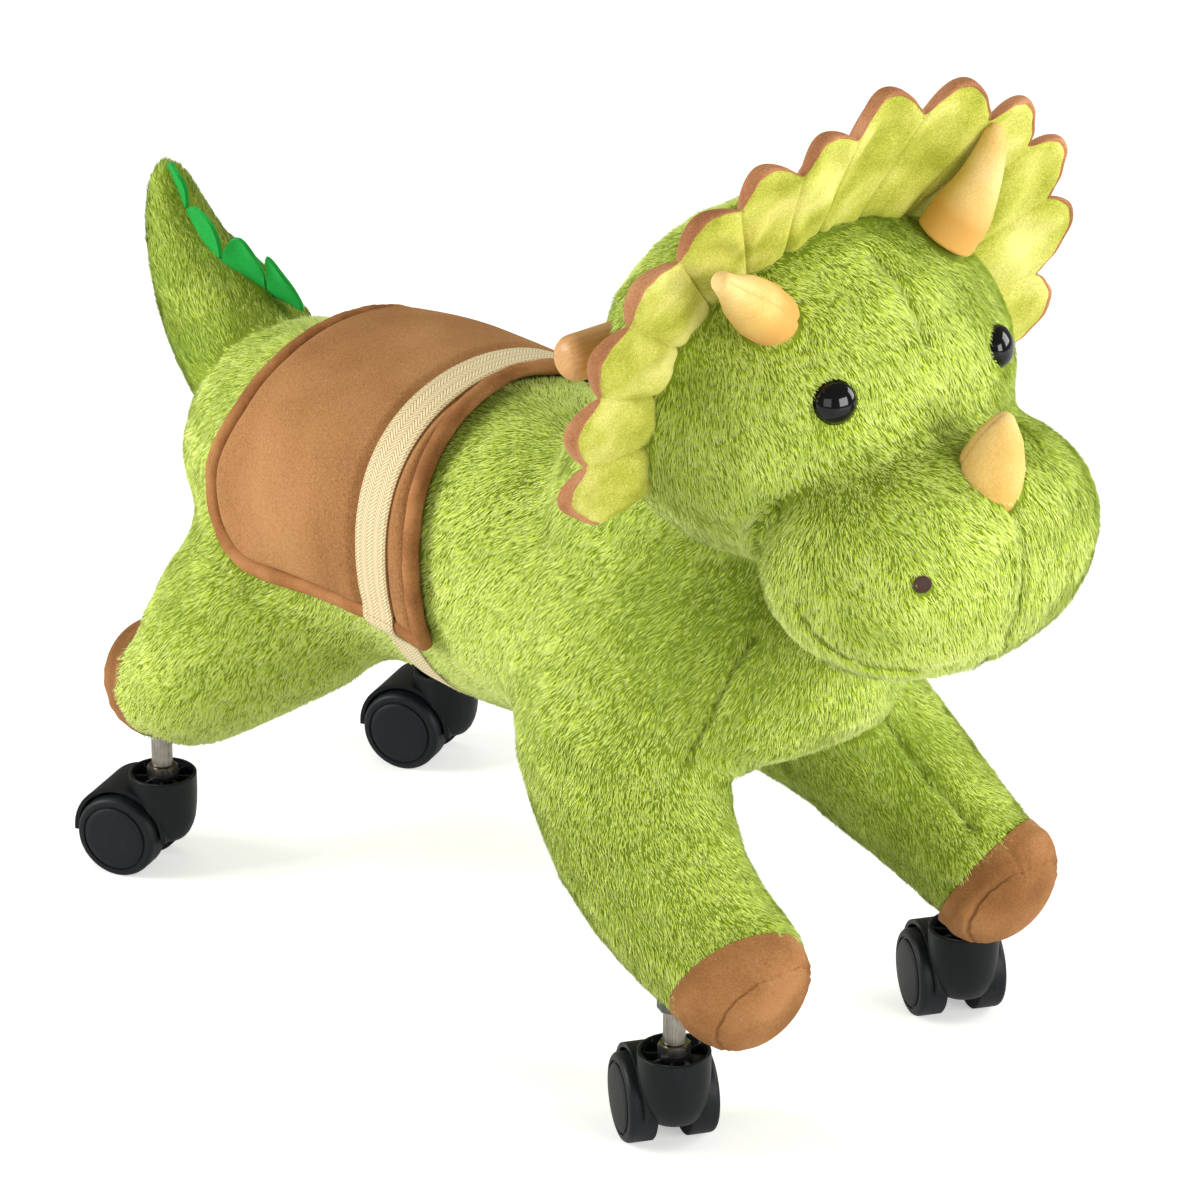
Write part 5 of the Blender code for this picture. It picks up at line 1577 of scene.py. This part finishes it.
@dataclass
class Saddle:
    """Suede pad with a bound edge, and the webbing girth."""

    drape: Drape
    # Both edges: degrees from the top, and place along the trunk in mm.
    front: tuple[Pair, ...] = ((0, 25), (20, 21), (35, 17), (50, 13), (70, 9), (90, 7), (116, 5))
    rear: tuple[Pair, ...] = ((0, 180), (30, 181), (55, 186), (80, 198), (100, 206), (116, 208))
    lift: float = 0.6 * MM
    thick: float = 8.0 * MM
    wrap: float = radians(116.0)
    corner: float = 72.0 * MM
    roll: Pair = (5.1 * MM, 4.5 * MM)     # half width and half height of the binding
    girth_y: float = 46.5 * MM
    girth_width: float = 25.5 * MM
    girth_thick: float = 1.5 * MM
    pressed: float = 0.42          # share of the pad's thickness that the girth presses flat
    channel_side: float = 7.0 * MM # width of each slope beside the girth
    belly_sink: float = 0.9 * MM   # how deep the girth lies in the pile under the belly
    drop: float = 20.0 * MM        # where it comes down from the pad to the plush
    arm: float = 92.5 * MM         # mean radius of the barrel
    pieces: list[Piece] = field(default_factory=list)

    def front_at(self, turn: Values) -> Values:
        """Front edge at an angle."""
        return np.interp(np.degrees(np.abs(turn)), *np.array(self.front).T) * MM

    def rear_at(self, turn: Values) -> Values:
        """Rear edge at an angle, with its rounded lower corner."""
        left = (self.wrap - np.abs(turn)) * self.arm
        t = clamp(1 - left / self.corner)
        return np.interp(np.degrees(np.abs(turn)), *np.array(self.rear).T) * MM \
            - self.corner * (1 - np.sqrt(clamp(1 - t * t)))

    def channel(self, y: Values) -> Values:
        """1 under the girth, 0 beside it."""
        return 1 - ease((np.abs(y - self.girth_y) - self.girth_width / 2) / self.channel_side)

    def pad_side(self, top: bool) -> Surface:
        """The pad's upper or lower face as a function of u and v."""
        inset = self.roll[0]

        def place(u: Points, v: Points) -> Points:
            """A point of the face."""
            eu, ev = ((0.5 - 0.5 * np.cos(pi * t)) * 0.45 + t * 0.55 for t in (u, v))
            wrap = self.wrap - inset / self.arm
            turn = wrap * (2 * eu - 1)
            wide = turn * self.wrap / wrap
            low, high = self.front_at(wide) + inset, self.rear_at(wide) - inset
            y = low + (high - low) * ev
            hem = (wrap - np.abs(turn)) * self.arm
            edge = np.minimum(np.minimum(y - low, high - y), hem)
            groove = clamp((edge - 3.6 * MM) / (8.0 * MM))
            crown = 0.06 + 0.94 * np.sqrt(1 - (1 - groove) ** 2)
            crown = crown * (1 - self.pressed * self.channel(y))
            wave = 0.35 * MM * np.sin(y / (19 * MM) + 2 * turn) * np.sin(3.1 * turn + 1.0)
            rise = self.thick * crown + wave * groove if top else 0.0 * y
            return self.drape.over(turn, y, self.lift + rise)

        return place

    def outline(self, inward: float, lift: float) -> Points:
        """Closed line round the saddle, `inward` from its edge."""
        wrap = self.wrap - inward / self.arm
        turns = np.linspace(-wrap, wrap, 160)
        wide = turns * self.wrap / wrap
        front, rear = self.front_at(wide) + inward, self.rear_at(wide) - inward
        hem = np.linspace(front[0], rear[0], 24)[1:-1]
        side = np.full(22, wrap)
        route = self.drape.over(np.concatenate([turns, side, turns[::-1], -side]),
                                np.concatenate([front, hem, rear[::-1], hem[::-1]]), np.full(364, lift))
        return np.concatenate([route, route[:1]])

    def pad(self) -> None:
        """The suede pad."""
        top = grid("saddle_top", 170, 130, self.pad_side(True))
        under = grid("saddle_under", 170, 130, self.pad_side(False))
        sides = join("saddle_suede", top, under)
        with editing(sides, "DESELECT"):
            bpy.ops.mesh.select_mode(type="EDGE")
            bpy.ops.mesh.select_non_manifold(extend=False)
            bpy.ops.mesh.bridge_edge_loops()
        piece = weld(sides, 0.05 * MM)
        self.pieces.append(show(smooth(piece), Finishes.SUEDE, "saddle_pad", fill=0.4))

    def binding(self) -> None:
        """The rolled suede edge."""
        route = along(self.outline(self.roll[0], self.lift + self.roll[1] * 0.9), 2.0 * MM)[0]
        count = len(route)
        run = unit(np.roll(route, -2, axis=0) - np.roll(route, 2, axis=0))
        out = from_axis(route)
        out = unit(out - run * (out * run).sum(axis=1, keepdims=True))
        side = np.cross(run, out)
        pinch = 1 - 0.35 * self.channel(route[:, 1] - BODY_Y)

        def place(u: Points, v: Points) -> Points:
            """A point round (v) and along (u) the roll."""
            row = np.round(u * count).astype(int) % count
            angle = tau * v
            puff = 1 + 0.05 * np.sin(row * 0.61) + 0.03 * np.sin(row * 1.9)
            high, wide = self.roll[1] * puff * pinch[row], self.roll[0] * (0.98 + 0.02 * puff)
            return (route[row] + out[row] * (high * np.cos(angle))[:, None]
                    + side[row] * (wide * np.sin(angle))[:, None])

        piece = weld(grid("saddle_binding", count, 20, place))
        self.pieces.append(show(smooth(piece), Finishes.BINDING, "saddle_piping"))

    def girth_lift(self, turn: Values) -> Values:
        """Underside of the webbing above the plush."""
        past = (np.abs(turn) - self.wrap) * self.arm
        hump = 2.4 * MM * bell(past + self.roll[0], 6.0 * MM)
        over = self.lift + self.thick * (1 - self.pressed) + 0.3 * MM + hump
        return over + (-self.belly_sink - over) * ease((past + 1.0 * MM) / self.drop)

    def girth(self) -> None:
        """The woven band round saddle and belly."""
        def place(u: Points, v: Points) -> Points:
            """A point round (v) and across (u) the band."""
            turn = -pi + tau * v
            across = 2 * u - 1
            edge = 0.5 * MM * clamp((np.abs(across) - 0.86) / 0.14) ** 2
            return self.drape.over(turn, self.girth_y + self.girth_width / 2 * across,
                                   self.girth_lift(turn) + self.girth_thick - edge)

        piece = grid("girth_tape", 26, 420, place)
        modify(piece, "SOLIDIFY", thickness=self.girth_thick, offset=-1.0 if self.faces_out(piece) else 1.0)
        piece = weld(piece)
        self.pieces.append(show(smooth(piece, 60), Finishes.WEBBING, "girth_webbing"))

    def faces_out(self, piece: Piece) -> bool:
        """Whether a band's faces look away from the trunk's axis."""
        return float((from_axis(points_of(piece)) * normals_of(piece)).sum()) > 0

    def sewing(self) -> None:
        """Stitches along both edges of the girth, across its ends and in the pad's groove."""
        turns = np.linspace(-self.wrap * 1.04, self.wrap * 1.04, 300)
        lift = self.girth_lift(turns) + self.girth_thick - 0.1 * MM
        routes = [self.drape.over(turns, np.full(300, self.girth_y + k * 0.88 * self.girth_width / 2), lift)
                  for k in (-1, 1)]
        for side in (-1, 1):
            y = self.girth_y + np.linspace(-0.42, 0.42, 24) * self.girth_width
            turn = np.full(24, side * (self.wrap - 9.0 * MM / self.arm))
            routes.append(self.drape.over(turn, y, self.girth_lift(turn) + self.girth_thick))
        for number, route in enumerate(routes, 1):
            self.sew(f"girth_stitches_{number}", route, 3.0 * MM, 2.2 * MM, 0.30 * MM, Finishes.TAN_THREAD)
        inner = self.outline(self.roll[0] * 2 + 0.5 * MM, self.lift + 0.06 * self.thick + 0.9 * MM)
        self.sew("saddle_stitches", inner, 3.6 * MM, 2.6 * MM, 0.32 * MM, Finishes.BROWN_THREAD)

    def sew(self, name: str, route: Points, pitch: float, length: float, radius: float,
            thread: Finish) -> None:
        """One row of stitches along a route on the trunk."""
        at, way = along(route, pitch)
        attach(stitches(name, at, way, unit(from_axis(at)), length, radius, thread), BODY)

    def build(self) -> None:
        """Makes the saddle and its girth."""
        self.pad()
        self.binding()
        self.girth()
        self.sewing()


# Handle and casters

@dataclass
class Handle:
    """The oak dowel behind the head."""

    radius: float = 12.5 * MM
    half: float = 121.0 * MM
    round_off: float = 8.5 * MM

    def build(self) -> None:
        """Turns the dowel with rounded ends."""
        place = Matrix.Translation((0, -150.0 * MM + BODY_Y, RIDE_Z + 362.0 * MM))
        place = place @ Matrix.Rotation(pi / 2, 4, "Y")
        edge = self.round_off
        end = [(self.radius - edge + edge * sin(a), -self.half + edge - edge * cos(a))
               for a in (radians(90 * i / 8) for i in range(9))]
        profile = [(0.0, -self.half)] + end + [(r, -h) for r, h in reversed(end)] + [(0.0, self.half)]
        piece = lathe("handle_oak_dowel", profile, place, 64)
        show(smooth(piece, 50), Finishes.OAK, "handle_dowel")


@dataclass
class Caster:
    """A 50 mm twin-wheel caster, shaped about its stem and copied to four corners."""

    wheel: float = 25.0 * MM
    trail: float = 20.0 * MM
    axle_z: float = 24.52 * MM
    web: float = 9.0 * MM
    cup: float = 20.0 * MM
    cup_floor: float = 54.52 * MM
    cup_rim: float = 61.02 * MM
    boss_top: float = 59.52 * MM
    nut_top: float = 65.82 * MM
    bottom: float = 18.0 * MM      # of the housing
    hood: float = 29.5 * MM
    hood_half: float = 19.5 * MM
    hollow: float = 18.0 * MM      # radius of the open cup
    boss: float = 9.0 * MM
    ribs: int = 8
    rib_half: float = 0.75 * MM
    rib_high: float = 4.0 * MM
    hub: float = 6.5 * MM
    tread: float = 15.8 * MM       # width
    round_off: float = 3.2 * MM    # of the tread's outer edge
    axle_bore: float = 3.3 * MM
    pin_bore: float = 5.3 * MM
    # Radius as a share of the cup's and height over the bottom in mm, up the housing's outside.
    bowl: tuple[Pair, ...] = ((0.0, 0.0), (0.45, 1.0), (0.66, 3.0), (0.78, 6.0), (0.88, 10.5), (0.94, 15.0),
                              (0.985, 23.0))

    def axle(self, side: int) -> Matrix:
        """The axle's frame, its Z outward on one side."""
        return Matrix.Translation((0, self.trail, self.axle_z)) @ Matrix.Rotation(side * pi / 2, 4, "Y")

    def disc(self, name: str, radius: float, low: float, high: float, place: Matrix,
             steps: int = 64) -> Piece:
        """A plain round block for uniting or cutting."""
        return lathe(name, [(0.0, low), (radius, low), (radius, high), (0.0, high)], place, steps)

    def housing(self) -> Piece:
        """Cup, arched hood and web in one moulding."""
        flat, r, half, floor, rim = Matrix.Identity(4), self.cup, self.hood_half, self.cup_floor, self.cup_rim
        side_wall = [(r, floor - 6.0 * MM), (r, rim - 0.5 * MM), (r - 0.5 * MM, rim), (0.0, rim)]
        body = lathe("housing", [(s * r, self.bottom + h * MM) for s, h in self.bowl] + side_wall, flat)
        drum = self.disc("hood", self.hood, -half, half, self.axle(1), 96)
        low = self.axle_z - 2.0 * MM
        plan = self.disc("plan", half, low, rim, flat)
        room = block("plan_back", (-half, 0, low), (half, self.trail + self.hood + 5.0 * MM, rim))
        cut(drum, cut(plan, room, "UNION"), "INTERSECT")
        cut(body, drum, "UNION")
        for side in (-1, 1):
            cut(body, self.disc("wheel_room", self.wheel + 2.0 * MM, self.web, half + 20.0 * MM,
                                self.axle(side), 96))
        web = self.web + 0.3 * MM
        cut(body, self.disc("axle_boss", 11.0 * MM, -web, web, self.axle(1)), "UNION")
        hollow = self.disc("hollow", self.hollow, floor, rim + 2.0 * MM, flat)
        cut(hollow, self.disc("boss", self.boss, floor - 1.0 * MM, self.boss_top, flat))
        for i in range(self.ribs):
            rib = block("rib", (self.boss / 2, -self.rib_half, floor - 1.0 * MM),
                        (r, self.rib_half, floor + self.rib_high))
            rib.data.transform(Matrix.Rotation(tau * (i + 0.5) / self.ribs, 4, "Z"))
            cut(hollow, rib)
        cut(body, hollow)
        cut(body, self.disc("bore", self.pin_bore, self.boss_top - 24.3 * MM, rim + 3.0 * MM, flat))
        cut(body, self.disc("cross", self.axle_bore, -2 * self.web, 2 * self.web, self.axle(1)))
        modify(body, "BEVEL", width=0.35 * MM, segments=2, limit_method="ANGLE", angle_limit=radians(38))
        return smooth(body, 34)

    def wheel_piece(self, side: int) -> Piece:
        """One wheel, from its domed cover round the tread to the blind hub bore."""
        inner, edge, hub = self.web + 0.6 * MM, self.round_off, self.hub
        face, deep = inner + self.tread, inner + 8.0 * MM
        profile = [(0.0, face + 1.8 * MM)]
        profile += [(19.0 * MM * s, face + 1.8 * MM - 1.08 * MM * s * s) for s in (0.2, 0.4, 0.6, 0.8, 0.95)]
        profile += [(18.9 * MM, face + 0.3 * MM), (19.1 * MM, face - 0.8 * MM), (20.3 * MM, face - 0.8 * MM),
                    (20.5 * MM, face + 0.1 * MM), (21.6 * MM, face)]
        profile += [(self.wheel - edge + edge * sin(a), face - edge + edge * cos(a))
                    for a in (radians(12 + 78 * i / 6) for i in range(7))]
        profile += [(self.wheel, inner + 0.6 * MM), (self.wheel - 0.6 * MM, inner), (20.0 * MM, inner),
                    (20.0 * MM, deep), (hub, deep), (hub, inner), (self.axle_bore, inner),
                    (self.axle_bore, inner + 12.3 * MM), (0.0, inner + 12.3 * MM)]
        return smooth(lathe("wheel", profile, self.axle(side), 96), 30)

    def nut(self) -> Piece:
        """Chamfered hexagon nut with its bore."""
        low, high = self.boss_top + 0.3 * MM, self.nut_top
        across = 8.0 * MM
        corner = across / cos(pi / 6)
        body = lathe("nut", [(0.0, low), (across, low), (corner, low + 0.7 * MM), (corner, high - 0.7 * MM),
                             (across, high), (0.0, high)], Matrix.Identity(4), 96)
        cut(body, self.disc("hexagon", corner, low - MM, high + MM, Matrix.Rotation(pi / 6, 4, "Z"), 6),
            "INTERSECT")
        cut(body, self.disc("bore", self.pin_bore, low - MM, high + MM, Matrix.Identity(4)))
        return smooth(body, 25)

    def stem(self) -> Piece:
        """Kingpin, thread under the nut and rod into the leg."""
        low, top = self.boss_top - 24.0 * MM, 110.82 * MM
        nut = self.nut_top
        profile = [(0.0, low), (4.6 * MM, low), (5.0 * MM, low + 0.4 * MM), (5.0 * MM, nut),
                   (5.8 * MM, nut + 0.3 * MM), (6.2 * MM, nut + 0.7 * MM), (6.2 * MM, top), (0.0, top)]
        return smooth(lathe("stem", profile, Matrix.Identity(4), 48), 30)

    def build(self) -> None:
        """Copies the caster's pieces to the four corners."""
        housing, nut, stem = self.housing(), self.nut(), self.stem()
        wheels = {"l": self.wheel_piece(1), "r": self.wheel_piece(-1)}
        for corner in Corner:
            name = corner.name
            cup = moved(housing, f"housing_{name}", corner.place)
            show(cup, Finishes.HOUSING, f"caster_housing_{name}", body=f"caster_{name}")
            for side, wheel in wheels.items():
                node = f"wheel_{name}_{side}"
                show(moved(wheel, f"disc_{name}_{side}", corner.place), Finishes.WHEEL, node, body=node)
            upright = Matrix.Translation(corner.stem)
            show(moved(nut, f"hexnut_{name}", upright), Finishes.ZINC, f"nut_{name}")
            show(moved(stem, f"rod_{name}", upright), Finishes.ZINC, f"stem_{name}")
            Finishes.ZINC.dress(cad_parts[f"axle_{name}"])
        for spare in (housing, nut, stem, *wheels.values()):
            bpy.data.objects.remove(spare, do_unlink=True)


# Studio

@dataclass(frozen=True)
class Softbox:
    """A large soft lamp that looks at the toy."""

    at: Triple
    size: Pair
    power: float
    colour: Colour = (1.0, 1.0, 1.0)


@dataclass
class Studio:
    """White floor and surround, soft lamps and the camera."""

    azimuth: float = radians(-41.26)
    elevation: float = radians(24.383)
    distance: float = 3.2
    lens: float = 172.84
    slide: Pair = (27.172 * MM, -76.729 * MM)
    aim: Triple = (0.0, BODY_Y, 0.30)
    heart: Triple = (0, -0.05, 0.3)        # where the lamps look
    dim: float = 0.25                      # light of the surround on the toy; the camera sees it at 1
    warmth: Triple = (1, 1, 0.72)          # tint of that light
    lamps: tuple[Softbox, ...] = (
        Softbox((-2.3, 1.8, 1.4), (1.6, 1.8), 101.0),
        Softbox((0.2, -2.8, 0.9), (1.5, 1.2), 57.0),
        Softbox((2.2, -1.3, 1.2), (1.4, 1.4), 49.0),
        Softbox((-2.3, -1.7, 1.0), (1.6, 1.4), 16.0),
        Softbox((0.4, 1.6, 2.6), (2.0, 1.4), 12.0),
    )

    def camera(self) -> None:
        """The photograph's view."""
        a, e = self.azimuth, self.elevation
        back = Vector((sin(a) * cos(e), -cos(a) * cos(e), sin(e)))
        right = Vector((cos(a), sin(a), 0))
        up = back.cross(right)
        lens = bpy.data.cameras.new("view")
        lens.sensor_width, lens.lens, lens.clip_end = 36.0, self.lens, 60.0
        camera = linked("view", lens)
        at = Vector(self.aim) + right * self.slide[0] + up * self.slide[1] + back * self.distance
        camera.matrix_world = Matrix.Translation(at) @ Matrix((right, up, back)).transposed().to_4x4()
        bpy.context.scene.camera = camera

    def lights(self) -> None:
        """Soft lamps and an even white surround."""
        for number, box in enumerate(self.lamps, 1):
            lamp = bpy.data.lights.new(f"softbox_{number}", "AREA")
            lamp.shape, lamp.size, lamp.size_y = "RECTANGLE", *box.size
            lamp.energy, lamp.color = box.power, box.colour
            holder = linked(lamp.name, lamp)
            look = (Vector(self.heart) - Vector(box.at)).to_track_quat("-Z", "Y")
            holder.matrix_world = Matrix.Translation(box.at) @ look.to_matrix().to_4x4()
        world = bpy.data.worlds.new("surround")
        bpy.context.scene.world = world
        world.use_nodes = True
        tree = world.node_tree
        rays = tree.nodes.new("ShaderNodeLightPath")
        seen = tree.nodes.new("ShaderNodeMath")
        seen.operation = "MULTIPLY_ADD"
        seen.inputs[1].default_value, seen.inputs[2].default_value = 1 - self.dim, self.dim
        tree.links.new(rays.outputs["Is Camera Ray"], seen.inputs[0])
        tree.links.new(seen.outputs[0], tree.nodes["Background"].inputs["Strength"])
        tint = tree.nodes.new("ShaderNodeMix")
        tint.data_type = "RGBA"
        tint.inputs["A"].default_value, tint.inputs["B"].default_value = (*self.warmth, 1), (1, 1, 1, 1)
        tree.links.new(rays.outputs["Is Camera Ray"], tint.inputs["Factor"])
        tree.links.new(tint.outputs["Result"], tree.nodes["Background"].inputs["Color"])

    def floor(self) -> None:
        """A wide white floor that keeps the toy's shadow."""
        bpy.ops.mesh.primitive_circle_add(vertices=96, radius=9.0, fill_type="NGON",
                                          location=(0, 0, -0.2 * MM))
        floor = only(bpy.context.active_object)
        floor.name = "studio_floor"
        graph = Graph("studio_white")
        rays = graph.add("ShaderNodeLightPath", output="Is Camera Ray")
        faint = graph.grain(graph.place(), 2.0)
        tone = graph.ramp(faint, (0.0, (0.80, 0.80, 0.80)), (1.0, (0.82, 0.82, 0.82)))
        graph.finish(Base_Color=tone, Roughness=0.9, Specular_IOR_Level=0.1)
        graph.tree.links.new((rays * 0.42).socket, graph.shader.inputs["Emission Strength"])
        graph.shader.inputs["Emission Color"].default_value = (1, 1, 1, 1)
        floor.data.materials.append(graph.material)

    def build(self) -> None:
        """Sets up the whole studio."""
        self.camera()
        self.lights()
        self.floor()


def inner_steel() -> None:
    """Dresses the hidden frame tubes."""
    for node in ("frame_hoop_front", "frame_hoop_rear", "frame_spine", "handle_post"):
        Finishes.STEEL.dress(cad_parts[node])


def main() -> None:
    """Builds the studio and every sub-assembly."""
    bpy.context.scene.view_settings.view_transform = "Standard"
    stuffed = StuffedBody()
    LOG.info("building the skins")
    stuffed.skins()
    saddle = Saddle(Drape(stuffed.trunk.skin))
    LOG.info("building the saddle")
    saddle.build()
    frill, face = Frill(), Face()
    for assembly in (frill, face, Hooves(), TailPlates(), Handle(), Caster(), Studio()):
        LOG.info("building %s", type(assembly).__name__)
        assembly.build()
    LOG.info("growing the pile")
    stuffed.pile(saddle.pieces + frill.pieces + face.spots)
    inner_steel()


if __name__ == "__main__":
    main()
